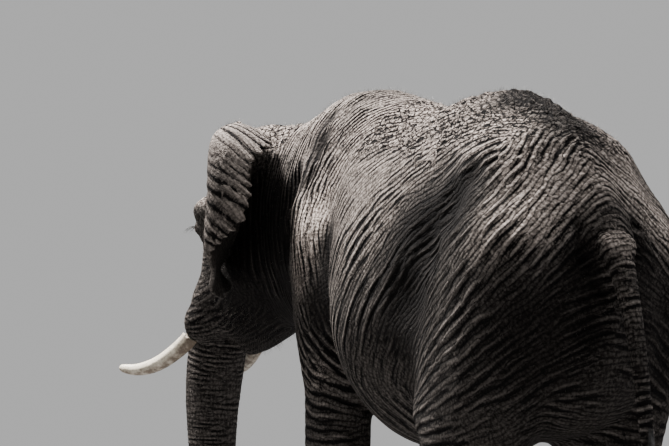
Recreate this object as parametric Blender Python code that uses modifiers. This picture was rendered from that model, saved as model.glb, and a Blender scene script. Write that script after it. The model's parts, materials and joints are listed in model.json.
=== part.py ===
"""An African bush elephant bull, life size, standing with its head low and its trunk hanging.

Metres, +Z up. The elephant faces -Y, and its left side is +X. The flesh is modelled whole, from lofted
columns and tubes that a voxel remesh fuses, shaped with dabs, and then parted into its named pieces by
thin cuts. Ears, tail, tusks, eyes and nails are bodies of their own that meet it.
"""

import math
from collections import namedtuple

import bmesh
import bpy
from mathutils import Matrix, Vector
from mathutils.geometry import intersect_line_plane

# Driving sizes, in metres
PART_GAP = 0.0005
CUT_WIDTH = 0.0008
FUSE_VOXEL = 0.022
FUSE_SMOOTHING = 10
FUSE_SOFTENING = 0.5
FLESH_TRIANGLES = 3000
HEAD_THINNING = 0.93
RING_POINTS = 36
SMALL_RING_POINTS = 10

# The head hangs from this point of the neck, turned a little to the animal's left.
HEAD_FORWARD, HEAD_SIDE, HEAD_HEIGHT = 1.72, 0.08, 2.44
HEAD_TURN = math.radians(10)
CHIN_HEIGHT = 1.59

EYE_RADIUS = 0.021
EYE_CLEARANCE = 0.002
EYE_FORWARD, EYE_SIDE, EYE_RISE = 0.610, 0.300, -0.005

EAR_THICK, EAR_RIM_THICK = 0.034, 0.011
EAR_SPREAD = math.radians(47.5)
EAR_ROLL_RADIUS = 0.075
EAR_RUFFLE = 0.022
EAR_RUFFLES = 5.5
EAR_CAMBER = 0.05
EAR_CAMBER_REACH = 1.15
EAR_DROOP = 0.5
EAR_FULL_ROLL = 0.2
EAR_RUFFLE_START, EAR_RUFFLE_POWER, EAR_RUFFLE_GAIN = 0.45, 1.5, 2.2
EAR_TAPER_POWER = 1.3
SHARP_ANGLE = math.radians(50)

SKIN = ("elephant_skin", (0.105, 0.095, 0.088), 0.85)
IVORY = ("ivory", (0.62, 0.54, 0.42), 0.45)
EYE = ("eye", (0.05, 0.025, 0.012), 0.08)
NAIL = ("toenail", (0.30, 0.26, 0.21), 0.65)
HAIR = ("tail_hair", (0.02, 0.018, 0.016), 0.6)


def at(forward, side, height):
    """The point so far ahead of the middle of the body, so far to its left and so far above the ground."""
    return Vector((side, -forward, height))


def head_point(forward, side, rise):
    """A point given from the head's own joint, along its own facing, with side positive to its left."""
    turned_forward = forward * math.cos(HEAD_TURN) - side * math.sin(HEAD_TURN)
    turned_side = forward * math.sin(HEAD_TURN) + side * math.cos(HEAD_TURN)
    return at(HEAD_FORWARD + turned_forward, HEAD_SIDE + turned_side, HEAD_HEIGHT + rise)


def head_direction(forward, side, rise):
    return head_point(forward, side, rise) - head_point(0, 0, 0)


BODY_SIDEWAYS = Vector((1, 0, 0))
HEAD_SIDEWAYS = head_direction(0, 1, 0)


# ---------------------------------------------------------------- shape tools


def clear_scene():
    for old in list(bpy.data.objects):
        bpy.data.objects.remove(old, do_unlink=True)


def new_collection(name, hidden=False):
    made = bpy.data.collections.new(name)
    made.hide_render = hidden
    bpy.context.scene.collection.children.link(made)
    return made


def material(name, colour, roughness):
    made = bpy.data.materials.get(name) or bpy.data.materials.new(name)
    made.use_nodes = True
    shader = made.node_tree.nodes["Principled BSDF"]
    shader.inputs["Base Color"].default_value = (*colour, 1)
    shader.inputs["Roughness"].default_value = roughness
    shader.inputs["Metallic"].default_value = 0
    return made


def place(name, mesh, collection, finish=None):
    """An object of this mesh in this collection, with its finish."""
    made = bpy.data.objects.new(name, mesh)
    collection.objects.link(made)
    if finish:
        mesh.materials.clear()
        mesh.materials.append(material(*finish))
    return made


def mesh_of(name, built):
    """A mesh datablock from a bmesh, which is freed."""
    bmesh.ops.recalc_face_normals(built, faces=built.faces)
    mesh = bpy.data.meshes.new(name)
    built.to_mesh(mesh)
    built.free()
    return mesh


def evaluated_mesh(obj):
    """A plain mesh of the object with its modifiers applied, in world space."""
    bpy.context.view_layer.update()
    graph = bpy.context.evaluated_depsgraph_get()
    mesh = bpy.data.meshes.new_from_object(obj.evaluated_get(graph))
    mesh.transform(obj.matrix_world)
    return mesh


def add_cut(obj, cutter, name="meet"):
    """Takes the cutter's shape out of the object."""
    meet = obj.modifiers.new(name, "BOOLEAN")
    meet.operation = "DIFFERENCE"
    meet.solver = "EXACT"
    meet.object = cutter


def between(a, b, c, d, t):
    """The value so far from b to c on the smooth curve through four evenly spaced ones."""
    bend = 2 * a - 5 * b + 4 * c - d
    twist = 3 * b - a - 3 * c + d
    return (2 * b + (c - a) * t + bend * t**2 + twist * t**3) / 2


def eased(rows, steps):
    """Rows of numbers read from a smooth curve through the given ones, with so many steps to a span."""
    padded = [rows[0], *rows, rows[-1]]
    found = []
    for spans in zip(padded, padded[1:], padded[2:], padded[3:]):
        for step in range(steps):
            found.append(tuple(between(*values, step / steps) for values in zip(*spans)))
    return [*found, tuple(rows[-1])]


def turns(count):
    """Evenly spaced angles round a full turn."""
    return [2 * math.pi * k / count for k in range(count)]


def loft(name, rings):
    """One closed body through rings of points, each end closed by one face."""
    built = bmesh.new()
    loops = [[built.verts.new(point) for point in ring] for ring in rings]
    for low, high in zip(loops, loops[1:]):
        for i in range(len(low)):
            j = (i + 1) % len(low)
            built.faces.new((low[i], low[j], high[j], high[i]))
    built.faces.new(loops[0][::-1])
    built.faces.new(loops[-1])
    return mesh_of(name, built)


def tube(name, centres, radii, sideways, points=RING_POINTS):
    """A tube along a path. A radius is (half width along sideways, half depth)."""
    rings = []
    for i, (centre, (half_width, half_depth)) in enumerate(zip(centres, radii)):
        along = (centres[min(i + 1, len(centres) - 1)] - centres[max(i - 1, 0)]).normalized()
        across = (sideways - along * sideways.dot(along)).normalized()
        wide, deep = across * half_width, along.cross(across) * half_depth
        rings.append([centre + wide * math.cos(a) + deep * math.sin(a) for a in turns(points)])
    return loft(name, rings)


def ball(name, centre, radii, points=RING_POINTS):
    """An ellipsoid as a mesh."""
    built = bmesh.new()
    bmesh.ops.create_uvsphere(built, u_segments=points, v_segments=points // 2, radius=1)
    bmesh.ops.scale(built, vec=radii, verts=built.verts)
    bmesh.ops.translate(built, vec=centre, verts=built.verts)
    return mesh_of(name, built)


def rounded(angle, power):
    """Sine of the angle with its curve made squarer (power under 1) or more peaked (over 1)."""
    value = math.sin(angle)
    return math.copysign(abs(value) ** power, value)


# ---------------------------------------------------------------- body


# forward, side, height of the widest line, half width there, rise to the back line, drop to the belly line,
# and how peaked the section is above and below that line: 1 is an ellipse, less is squarer
BODY_SECTIONS = (
    (-1.65, 0.00, 1.98, 0.12, 0.22, 0.20, 1.0, 1.0),
    (-1.59, 0.00, 1.99, 0.27, 0.43, 0.36, 0.9, 1.0),
    (-1.48, 0.00, 2.00, 0.40, 0.61, 0.50, 0.8, 1.0),
    (-1.34, 0.00, 2.02, 0.505, 0.76, 0.60, 0.8, 1.0),
    (-1.17, 0.00, 2.04, 0.580, 0.89, 0.66, 0.75, 1.0),
    (-0.95, 0.00, 2.05, 0.600, 0.95, 0.70, 0.80, 1.0),
    (-0.72, 0.00, 2.05, 0.605, 1.02, 0.73, 0.90, 1.0),
    (-0.50, 0.00, 2.04, 0.615, 1.075, 0.74, 1.0, 0.95),
    (-0.25, 0.00, 2.01, 0.645, 1.10, 0.74, 1.1, 0.95),
    (0.05, 0.00, 2.00, 0.670, 1.04, 0.74, 1.1, 0.95),
    (0.30, 0.00, 2.08, 0.600, 1.02, 0.79, 1.05, 1.1),
    (0.52, 0.00, 2.22, 0.490, 0.92, 0.90, 0.95, 1.5),
    (0.72, 0.00, 2.30, 0.470, 0.88, 0.92, 0.95, 1.5),
    (0.95, 0.00, 2.35, 0.460, 0.84, 0.90, 1.0, 1.3),
    (1.18, 0.01, 2.40, 0.410, 0.78, 0.80, 1.15, 1.2),
    (1.38, 0.02, 2.41, 0.370, 0.71, 0.66, 1.15, 1.1),
    (1.55, 0.04, 2.41, 0.335, 0.64, 0.57, 1.0, 1.0),
    (1.75, 0.08, 2.41, 0.300, 0.61, 0.54, 1.0, 1.0),
    (1.92, 0.11, 2.41, 0.270, 0.58, 0.50, 1.0, 1.0),
)


SPINE_PATH = (
    (1.00, 3.06),
    (0.60, 3.04),
    (0.10, 2.93),
    (-0.25, 2.995),
    (-0.52, 3.030),
    (-0.75, 3.010),
    (-1.00, 2.930),
    (-1.20, 2.825),
    (-1.36, 2.66),
    (-1.50, 2.48),
    (-1.58, 2.34),
)
SPINE_RADII = (0.12, 0.11)


def body_ring(section):
    forward, side, height, half_width, rise, drop, above, below = section
    ring = []
    for angle in turns(RING_POINTS):
        upward = math.sin(angle) > 0
        reach = rise if upward else drop
        out = rounded(angle + math.pi / 2, above if upward else below) * half_width
        ring.append(at(forward, side + out, height + rounded(angle, 1) * reach))
    return ring


def body_mesh():
    return loft("body", [body_ring(section) for section in eased(BODY_SECTIONS, 3)])


def ridge_mesh():
    """The spine: a low ridge along the back that climbs over the hips and falls to the tail."""
    centres = [at(forward, 0, height) for forward, height in eased(SPINE_PATH, 2)]
    return tube("spine_ridge", centres, [SPINE_RADII] * len(centres), BODY_SIDEWAYS)


# ---------------------------------------------------------------- legs

# height, forward, side, half length, half width: from inside the body down to the sole
FORE_LEG_SECTIONS = (
    (2.80, 0.98, 0.25, 0.20, 0.15),
    (2.50, 0.95, 0.315, 0.27, 0.185),
    (2.20, 0.88, 0.34, 0.295, 0.18),
    (1.88, 0.79, 0.355, 0.28, 0.17),
    (1.57, 0.70, 0.36, 0.225, 0.168),
    (1.24, 0.695, 0.36, 0.205, 0.17),
    (0.92, 0.72, 0.36, 0.190, 0.168),
    (0.62, 0.74, 0.36, 0.174, 0.162),
    (0.38, 0.75, 0.36, 0.170, 0.164),
    (0.20, 0.765, 0.36, 0.198, 0.190),
    (0.07, 0.78, 0.36, 0.226, 0.213),
    (-0.06, 0.78, 0.36, 0.220, 0.207),
)
HIND_LEG_SECTIONS = (
    (2.70, -0.92, 0.26, 0.34, 0.22),
    (2.38, -1.00, 0.33, 0.50, 0.27),
    (2.00, -1.00, 0.355, 0.56, 0.275),
    (1.66, -0.96, 0.365, 0.52, 0.255),
    (1.36, -0.90, 0.365, 0.41, 0.225),
    (1.10, -0.90, 0.360, 0.29, 0.190),
    (0.82, -0.98, 0.355, 0.215, 0.165),
    (0.56, -1.06, 0.350, 0.192, 0.155),
    (0.33, -1.05, 0.350, 0.182, 0.155),
    (0.15, -1.01, 0.350, 0.215, 0.180),
    (0.05, -0.995, 0.350, 0.238, 0.192),
    (-0.06, -0.995, 0.350, 0.232, 0.187),
)
FREE_LEG_HEIGHT = 1.60

# how far each foot is set ahead of its column, for a standing step
STRIDES = {
    "fore_left": (FORE_LEG_SECTIONS, 1, -0.03),
    "fore_right": (FORE_LEG_SECTIONS, -1, 0.20),
    "hind_left": (HIND_LEG_SECTIONS, 1, 0.16),
    "hind_right": (HIND_LEG_SECTIONS, -1, -0.20),
}


def step_at(height, stride):
    """How far the leg has swung forward at this height."""
    return stride * max(0.0, 1 - max(height, 0) / FREE_LEG_HEIGHT)


def leg_mesh(leg):
    sections, facing, stride = STRIDES[leg]
    rings = []
    for height, forward, side, half_length, half_width in eased(sections, 3):
        centre = at(forward + step_at(height, stride), facing * side, height)
        outline = [(half_width * math.cos(a), half_length * math.sin(a), 0) for a in turns(RING_POINTS)]
        rings.append([centre + Vector(point) for point in outline])
    return loft(leg, rings)


# ---------------------------------------------------------------- head and trunk

# rise, forward place of the widest point, reach ahead of it, reach behind it, half width
SKULL_SECTIONS = (
    (0.575, 0.24, 0.10, 0.18, 0.09),
    (0.535, 0.24, 0.21, 0.30, 0.20),
    (0.450, 0.24, 0.32, 0.38, 0.275),
    (0.300, 0.24, 0.44, 0.42, 0.315),
    (0.120, 0.26, 0.53, 0.42, 0.320),
    (-0.050, 0.29, 0.55, 0.40, 0.315),
    (-0.220, 0.31, 0.53, 0.36, 0.288),
    (-0.400, 0.34, 0.52, 0.30, 0.260),
    (-0.540, 0.40, 0.45, 0.26, 0.215),
    (-0.630, 0.44, 0.34, 0.18, 0.150),
)
TRUNK_SECTIONS = (
    # forward, rise, half width, half depth
    (0.50, 0.20, 0.170, 0.14),
    (0.62, -0.02, 0.165, 0.16),
    (0.70, -0.25, 0.165, 0.165),
    (0.79, -0.50, 0.168, 0.172),
    (0.87, -0.78, 0.172, 0.170),
    (0.91, -1.05, 0.160, 0.158),
    (0.91, -1.35, 0.138, 0.133),
    (0.875, -1.62, 0.112, 0.110),
    (0.82, -1.85, 0.092, 0.090),
    (0.72, -2.02, 0.078, 0.074),
    (0.60, -2.12, 0.068, 0.062),
    (0.47, -2.14, 0.062, 0.054),
    (0.37, -2.09, 0.056, 0.046),
)
TUSK_SHEATH = (
    # forward, side, rise, radius
    (0.50, 0.130, -0.12, 0.100),
    (0.60, 0.165, -0.34, 0.112),
    (0.67, 0.195, -0.48, 0.108),
    (0.720, 0.220, -0.575, 0.097),
    (0.752, 0.242, -0.645, 0.080),
)
JAW_SECTIONS = (
    # forward, rise, half width, half depth
    (0.02, -0.28, 0.24, 0.20),
    (0.22, -0.45, 0.215, 0.17),
    (0.38, -0.585, 0.150, 0.120),
    (0.49, -0.668, 0.088, 0.080),
    (0.565, -0.718, 0.048, 0.046),
)
EYE_MOUND = (0.55, 0.25, -0.01), (0.085, 0.110, 0.075)
BROW = (0.53, 0.295, 0.100), (0.088, 0.140, 0.066)
CHEEK = (0.26, 0.16, -0.16), (0.18, 0.28, 0.30)


def skull_ring(section):
    rise, widest, ahead, behind, half_width = section
    ring = []
    for angle in turns(RING_POINTS):
        reach = ahead if math.cos(angle) > 0 else behind
        ring.append(head_point(widest + math.cos(angle) * reach, math.sin(angle) * half_width, rise))
    return ring


def head_tube(name, sections):
    """A tube on the head's own middle plane."""
    rows = eased(sections, 3)
    centres = [head_point(forward, 0, rise) for forward, rise, _, _ in rows]
    return tube(name, centres, [(wide, deep) for _, _, wide, deep in rows], HEAD_SIDEWAYS)


def sheath_mesh(facing):
    rows = eased(TUSK_SHEATH, 3)
    centres = [head_point(forward, facing * side, rise) for forward, side, rise, _ in rows]
    return tube("tusk_sheath", centres, [(radius, radius) for *_, radius in rows], HEAD_SIDEWAYS)


def head_meshes():
    swells = [
        ball("swell", head_point(forward, facing * side, rise), radii)
        for (forward, side, rise), radii in (EYE_MOUND, BROW, CHEEK)
        for facing in (1, -1)
    ]
    return [
        loft("skull", [skull_ring(section) for section in eased(SKULL_SECTIONS, 3)]),
        head_tube("trunk", TRUNK_SECTIONS),
        head_tube("jaw", JAW_SECTIONS),
        *[sheath_mesh(facing) for facing in (1, -1)],
        *swells,
    ]


# ---------------------------------------------------------------- fused flesh

Dab = namedtuple("Dab", "centre reach push")


def both_sides(forward, side, height, reach, push, head=False):
    """The same dab on the left and on the right. A push is outwards, so a hollow has a negative one."""
    where = head_point if head else at
    return [Dab(where(forward, facing * side, height), reach, push) for facing in (1, -1)]


DABS = [
    *both_sides(-1.00, 0.46, 2.82, 0.24, 0.030),  # hip bones
    *both_sides(-0.74, 0.56, 2.62, 0.28, -0.030),  # hollow in front of them
    *both_sides(-0.30, 0.60, 2.45, 0.34, -0.015),  # flank
    *both_sides(-0.05, 0.66, 1.85, 0.50, 0.020),  # paunch
    *both_sides(-1.25, 0.50, 2.30, 0.36, 0.020),  # rump muscle
    *both_sides(-0.55, 0.60, 1.50, 0.22, 0.025),  # stifle
    *both_sides(-1.52, 0.22, 2.10, 0.24, -0.030),  # beside the tail
    *both_sides(0.36, 0.33, 0.22, 0.17, -0.045, head=True),  # hollow of the temple
    *both_sides(0.34, 0.34, -0.06, 0.17, 0.025, head=True),  # cheek bone
    *both_sides(0.17, 0.20, 0.54, 0.20, 0.020, head=True),  # domes of the crown
    Dab(head_point(0.72, 0, 0.02), 0.22, 0.015),  # root of the trunk
    Dab(head_point(0.63, 0, 0.30), 0.20, -0.012),  # the flat above it
]


def press(mesh, dabs):
    """Moves the points near each dab along their own normals, most at its centre."""
    normals = [vertex.normal.copy() for vertex in mesh.vertices]
    for vertex, normal in zip(mesh.vertices, normals):
        for dab in dabs:
            share = (vertex.co - dab.centre).length / dab.reach
            if share < 1:
                vertex.co += normal * dab.push * (1 - share**2) ** 2


def joined(name, meshes):
    built = bmesh.new()
    for mesh in meshes:
        built.from_mesh(mesh)
    made = bpy.data.meshes.new(name)
    built.to_mesh(made)
    built.free()
    return made


def fused_flesh(helpers):
    """Body, legs, head and trunk as one closed skin, with flat soles on the ground."""
    shapes = [body_mesh(), ridge_mesh(), *[leg_mesh(leg) for leg in STRIDES], *head_meshes()]
    whole = place("flesh_block", joined("flesh_block", shapes), helpers)
    fuse = whole.modifiers.new("fuse", "REMESH")
    fuse.mode = "VOXEL"
    fuse.voxel_size = FUSE_VOXEL
    soften = whole.modifiers.new("soften", "SMOOTH")
    soften.factor = FUSE_SOFTENING
    soften.iterations = FUSE_SMOOTHING
    mesh = evaluated_mesh(whole)
    press(mesh, DABS)

    shaped = place("flesh_shaped", mesh, helpers)
    detail = shaped.vertex_groups.new(name="plain")
    chin = at(HEAD_FORWARD, 0, CHIN_HEIGHT)
    for vertex in mesh.vertices:
        on_head = vertex.co.y < chin.y and vertex.co.z > chin.z
        detail.add([vertex.index], HEAD_THINNING if on_head else 1.0, "REPLACE")
    thin = shaped.modifiers.new("thin", "DECIMATE")
    thin.ratio = FLESH_TRIANGLES / (2 * len(mesh.polygons))
    thin.vertex_group = detail.name
    thin.vertex_group_factor = 1.0
    thin.use_collapse_triangulate = True
    coarse = evaluated_mesh(shaped)

    built = bmesh.new()
    built.from_mesh(coarse)
    everything = [*built.verts, *built.edges, *built.faces]
    below = {"plane_co": (0, 0, 0), "plane_no": (0, 0, -1)}
    bmesh.ops.bisect_plane(built, geom=everything, **below, clear_outer=True)
    bmesh.ops.holes_fill(built, edges=[edge for edge in built.edges if edge.is_boundary], sides=0)
    return mesh_of("flesh", built)


# ---------------------------------------------------------------- cuts between the pieces

Cut = namedtuple("Cut", "centre normal sideways width depth")

# height of the cut, its width and its length
KNEE_CUTS = {"fore": (1.22, 0.52, 0.64), "hind": (1.18, 0.52, 0.76)}
ANKLE_CUT = (0.30, 0.46, 0.50)
# where on the head, and the direction it faces there
TRUNK_CUTS = (
    ((0.90, 0, -0.98), (0.12, 0, -1)),
    ((0.91, 0, -1.46), (-0.06, 0, -1)),
    ((0.76, 0, -1.98), (-0.60, 0, -0.80)),
)
TRUNK_CUT_SIZE = (0.60, 0.44)
# across the body and across the shoulders: ahead of its middle and height, the way it faces, width and depth
WAIST_CUT = (-0.42, 2.2), (1, 0, 0), (1.6, 2.6)
SHOULDER_CUT = (1.40, 2.4), (1, 0.06, -0.10), (1.6, 2.4)
NECK_FACE = Cut(head_point(-0.02, 0, 0), head_direction(1, 0, -0.06), HEAD_SIDEWAYS, 1.5, 2.2)
MOUTH_FRONT = head_point(0.655, 0, -0.662)
MOUTH_LINE = head_direction(-1, 0, 0.4)
MOUTH_WIDTH = 0.75


def leg_place(leg, height):
    """The middle of a leg at this height."""
    sections, facing, stride = STRIDES[leg]
    nearest = min(sections, key=lambda section: abs(section[0] - height))
    return at(nearest[1] + step_at(height, stride), facing * nearest[2], height)


def level_cut(leg, height, width, depth):
    return Cut(leg_place(leg, height), Vector((0, 0, 1)), BODY_SIDEWAYS, width, depth)


def band_cuts():
    """The cuts that go right across a limb or the body. None of them meets another."""
    trunk = [
        Cut(head_point(*centre), head_direction(*normal), HEAD_SIDEWAYS, *TRUNK_CUT_SIZE)
        for centre, normal in TRUNK_CUTS
    ]
    body = [
        Cut(at(forward, 0, height), at(*normal), BODY_SIDEWAYS, *size)
        for (forward, height), normal, size in (WAIST_CUT, SHOULDER_CUT)
    ]
    return [
        *body,
        NECK_FACE,
        *trunk,
        *[level_cut(leg, *KNEE_CUTS[leg[:4]]) for leg in STRIDES],
        *[level_cut(leg, *ANKLE_CUT) for leg in STRIDES],
    ]


def mouth_cut():
    """The cut along the line of the mouth, back to the face where the neck begins."""
    back = intersect_line_plane(MOUTH_FRONT, MOUTH_FRONT + MOUTH_LINE, NECK_FACE.centre, NECK_FACE.normal)
    middle = (MOUTH_FRONT + back) / 2
    normal = HEAD_SIDEWAYS.cross(MOUTH_LINE)
    return Cut(middle, normal, HEAD_SIDEWAYS, MOUTH_WIDTH, (MOUTH_FRONT - back).length)


def slab_mesh(cuts):
    """Thin slabs for these cuts, as one mesh."""
    built = bmesh.new()
    for cut in cuts:
        normal = cut.normal.normalized()
        deep = normal.cross(cut.sideways).normalized()
        sideways = deep.cross(normal)
        frame = Matrix((sideways * cut.width, deep * cut.depth, normal * CUT_WIDTH)).transposed().to_4x4()
        frame.translation = cut.centre
        bmesh.ops.create_cube(built, size=1, matrix=frame)
    return mesh_of("slabs", built)


# about where the middle of each parted piece lies
BODY_MIDDLES = {"torso": (0.5, 0, 2.2), "rump": (-0.9, 0, 2.0), "neck": (1.55, 0.05, 2.4)}
HEAD_MIDDLES = {
    "head": (0.45, 0, -0.1),
    "jaw": (0.3, 0, -0.60),
    "trunk_upper": (0.92, 0, -1.2),
    "trunk_lower": (0.89, 0, -1.7),
    "trunk_tip": (0.55, 0, -2.12),
}
LEG_MIDDLE, FOOT_MIDDLE = 0.80, 0.15


def piece_places():
    """Where to look for each parted piece, to name it by."""
    places = {name: at(*middle) for name, middle in BODY_MIDDLES.items()}
    places.update({name: head_point(*middle) for name, middle in HEAD_MIDDLES.items()})
    for leg in STRIDES:
        places[f"leg_{leg}"] = leg_place(leg, LEG_MIDDLE)
        places[f"foot_{leg}"] = leg_place(leg, FOOT_MIDDLE)
    return places


def separate_bodies(mesh):
    """The loose bodies of a mesh, each as a bmesh."""
    source = bmesh.new()
    source.from_mesh(mesh)
    source.verts.ensure_lookup_table()
    unseen = set(range(len(source.verts)))
    bodies = []
    while unseen:
        start = unseen.pop()
        found, edge_of_search = {start}, [start]
        while edge_of_search:
            vertex = source.verts[edge_of_search.pop()]
            for edge in vertex.link_edges:
                other = edge.other_vert(vertex).index
                if other in unseen:
                    unseen.discard(other)
                    found.add(other)
                    edge_of_search.append(other)
        bodies.append(found)
    for found in bodies:
        body = source.copy()
        body.verts.ensure_lookup_table()
        others = [vertex for vertex in body.verts if vertex.index not in found]
        bmesh.ops.delete(body, geom=others, context="VERTS")
        yield body
    source.free()


def part_flesh(mesh, elephant, helpers):
    """Cuts the flesh and gives each piece its name."""
    whole = place("flesh_whole", mesh, helpers)
    add_cut(whole, place("bands", slab_mesh(band_cuts()), helpers), "bands")
    add_cut(whole, place("mouth_line", slab_mesh([mouth_cut()]), helpers), "mouth_line")
    places = piece_places()
    for body in separate_bodies(evaluated_mesh(whole)):
        middle = sum((vertex.co for vertex in body.verts), Vector()) / len(body.verts)
        name = min(places, key=lambda piece: (places[piece] - middle).length)
        places.pop(name)
        place(name, mesh_of(name, body), elephant, SKIN)


# ---------------------------------------------------------------- ears

# back from the root, up from its middle, width of the rolled rim there
EAR_MARGIN = (
    (0.02, 0.42, 0.06),
    (0.13, 0.475, 0.15),
    (0.32, 0.525, 0.21),
    (0.56, 0.515, 0.28),
    (0.80, 0.39, 0.29),
    (0.93, 0.17, 0.27),
    (0.95, -0.06, 0.21),
    (0.88, -0.24, 0.11),
    (0.72, -0.36, 0.05),
    (0.55, -0.44, 0.045),
    (0.41, -0.475, 0.045),
    (0.26, -0.465, 0.045),
    (0.12, -0.44, 0.045),
    (0.02, -0.40, 0.045),
)
EAR_ROOT_TOP = (0.09, 0.25, 0.40)
EAR_ROOT_LOW = (0.27, 0.335, -0.34)
EAR_ROOT_REACH = 0.25
EAR_ROOT_MIDDLE_RISE = 0.08
EAR_ROLL_TURN = math.radians(105)
EAR_STEPS_OUT = (0.0, 0.30, 0.58, 0.83)
EAR_STEPS_ROLLED = (0.0, 0.24, 0.46, 0.70, 1.0)


def ear_point(facing, root_share, back, rise, inward):
    """A point of the ear: back along its blade, up, and inward towards the neck from the blade's plane."""
    root = [top + (low - top) * root_share for top, low in zip(EAR_ROOT_TOP, EAR_ROOT_LOW)]
    out = math.sin(EAR_SPREAD)
    away = math.cos(EAR_SPREAD)
    forward = root[0] - back * away - inward * out
    side = root[1] + back * out - inward * away
    return head_point(forward, facing * side, rise)


def ear_profile(distance, blade):
    """How far out and inward the sheet lies after so much of its length, rolling over past the blade."""
    if distance <= blade:
        return distance, 0.0
    bend = min((distance - blade) / EAR_ROLL_RADIUS, EAR_ROLL_TURN)
    beyond = distance - blade - EAR_ROLL_RADIUS * bend
    out = blade + EAR_ROLL_RADIUS * math.sin(bend) + beyond * math.cos(bend)
    inward = EAR_ROLL_RADIUS * (1 - math.cos(bend)) + beyond * math.sin(bend)
    return out, inward


def ear_sheet(facing):
    margin = eased(EAR_MARGIN, 2)
    built = bmesh.new()
    columns = []
    for index, (back, up, roll_width) in enumerate(margin):
        share = index / (len(margin) - 1)
        root_up = EAR_ROOT_REACH * (1 - 2 * share)
        length = math.hypot(back, up - root_up)
        roll_turn = min(roll_width / EAR_ROLL_RADIUS, math.pi / 2)
        blade = length - EAR_ROLL_RADIUS * math.sin(roll_turn)
        steps = [blade * t for t in EAR_STEPS_OUT] + [blade + roll_width * t for t in EAR_STEPS_ROLLED]
        total = steps[-1]
        column = []
        for distance in steps:
            out, inward = ear_profile(distance, blade)
            part = out / length
            reached = distance / total
            wave = math.sin(share * EAR_RUFFLES * 2 * math.pi)
            loose = EAR_RUFFLE_GAIN * max(0.0, reached - EAR_RUFFLE_START) ** EAR_RUFFLE_POWER
            ruffle = EAR_RUFFLE * wave * loose
            camber = -EAR_CAMBER * math.sin(math.pi * min(reached * EAR_CAMBER_REACH, 1.0))
            droop = -EAR_DROOP * max(0.0, distance - blade) * min(1.0, roll_width / EAR_FULL_ROLL)
            rise = EAR_ROOT_MIDDLE_RISE + root_up + (up - root_up) * part + droop
            point = ear_point(facing, share, back * part, rise, inward + camber + ruffle)
            column.append(built.verts.new(point))
        columns.append(column)
    for near, far in zip(columns, columns[1:]):
        for i in range(len(near) - 1):
            built.faces.new((near[i], near[i + 1], far[i + 1], far[i]))
    return mesh_of("ear", built)


def make_ears(elephant, clearance):
    for word, facing in (("left", 1), ("right", -1)):
        ear = place(f"ear_{word}", ear_sheet(facing), elephant, SKIN)
        fullness = ear.vertex_groups.new(name="fullness")
        per_column = len(EAR_STEPS_OUT) + len(EAR_STEPS_ROLLED)
        for index in range(len(ear.data.vertices)):
            reached = min(1.0, (index % per_column) / (len(EAR_STEPS_OUT) - 1))
            fullness.add([index], (1 - reached) ** EAR_TAPER_POWER, "REPLACE")
        thickness = ear.modifiers.new("thickness", "SOLIDIFY")
        thickness.thickness = EAR_THICK
        thickness.offset = 0
        thickness.vertex_group = fullness.name
        thickness.thickness_vertex_group = EAR_RIM_THICK / EAR_THICK
        add_cut(ear, clearance)


# ---------------------------------------------------------------- tail, tusks, eyes and nails

TAIL_SECTIONS = (
    # forward, side, height, half width, half depth
    (-1.36, 0.00, 2.50, 0.13, 0.11),
    (-1.52, 0.00, 2.42, 0.115, 0.10),
    (-1.65, -0.005, 2.29, 0.080, 0.075),
    (-1.73, -0.02, 2.10, 0.056, 0.055),
    (-1.77, -0.045, 1.85, 0.045, 0.045),
    (-1.79, -0.075, 1.55, 0.036, 0.037),
    (-1.80, -0.095, 1.28, 0.030, 0.032),
)
TUFT_SECTIONS = (
    (-1.80, -0.097, 1.262, 0.020, 0.026),
    (-1.805, -0.103, 1.15, 0.026, 0.052),
    (-1.805, -0.108, 1.00, 0.026, 0.064),
    (-1.80, -0.112, 0.86, 0.018, 0.046),
    (-1.795, -0.114, 0.78, 0.006, 0.014),
)
TUSK_PATH = (
    # forward, side, rise, radius
    (0.705, 0.222, -0.55, 0.0500),
    (0.775, 0.270, -0.66, 0.0495),
    (0.870, 0.318, -0.742, 0.0465),
    (0.945, 0.355, -0.790, 0.0430),
    (1.010, 0.390, -0.816, 0.0395),
    (1.075, 0.424, -0.828, 0.0340),
    (1.130, 0.452, -0.824, 0.0280),
    (1.160, 0.468, -0.818, 0.0215),
    (1.172, 0.475, -0.815, 0.0110),
)
RIGHT_TUSK_SPREAD = 0.35
FORE_NAIL_ANGLES = (-62, -22, 18, 58)
HIND_NAIL_ANGLES = (-48, -4, 40)
NAIL_HEIGHT = 0.075
NAIL_RADII = (0.045, 0.036, 0.062)
NAIL_POINTS = 8
NAIL_STAND_OUT = 0.97


def body_tube(name, sections):
    rows = eased(sections, 2)
    centres = [at(forward, side, height) for forward, side, height, _, _ in rows]
    radii = [(wide, deep) for *_, wide, deep in rows]
    return tube(name, centres, radii, BODY_SIDEWAYS, SMALL_RING_POINTS)


def make_tail(elephant, clearance):
    tail = place("tail", body_tube("tail", TAIL_SECTIONS), elephant, SKIN)
    add_cut(tail, clearance)
    place("tail_tuft", body_tube("tail_tuft", TUFT_SECTIONS), elephant, HAIR)


def make_tusks(elephant, clearance):
    """The tusks, of which the right one spreads less than the left."""
    rows = eased(TUSK_PATH, 2)
    root_side = TUSK_PATH[0][1]
    for word, facing, spread in (("left", 1, 1.0), ("right", -1, RIGHT_TUSK_SPREAD)):
        centres = [
            head_point(forward, facing * (root_side + (side - root_side) * spread), rise)
            for forward, side, rise, _ in rows
        ]
        radii = [(radius, radius) for *_, radius in rows]
        shape = tube("tusk", centres, radii, HEAD_SIDEWAYS, SMALL_RING_POINTS)
        tusk = place(f"tusk_{word}", shape, elephant, IVORY)
        add_cut(tusk, clearance)


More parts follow.
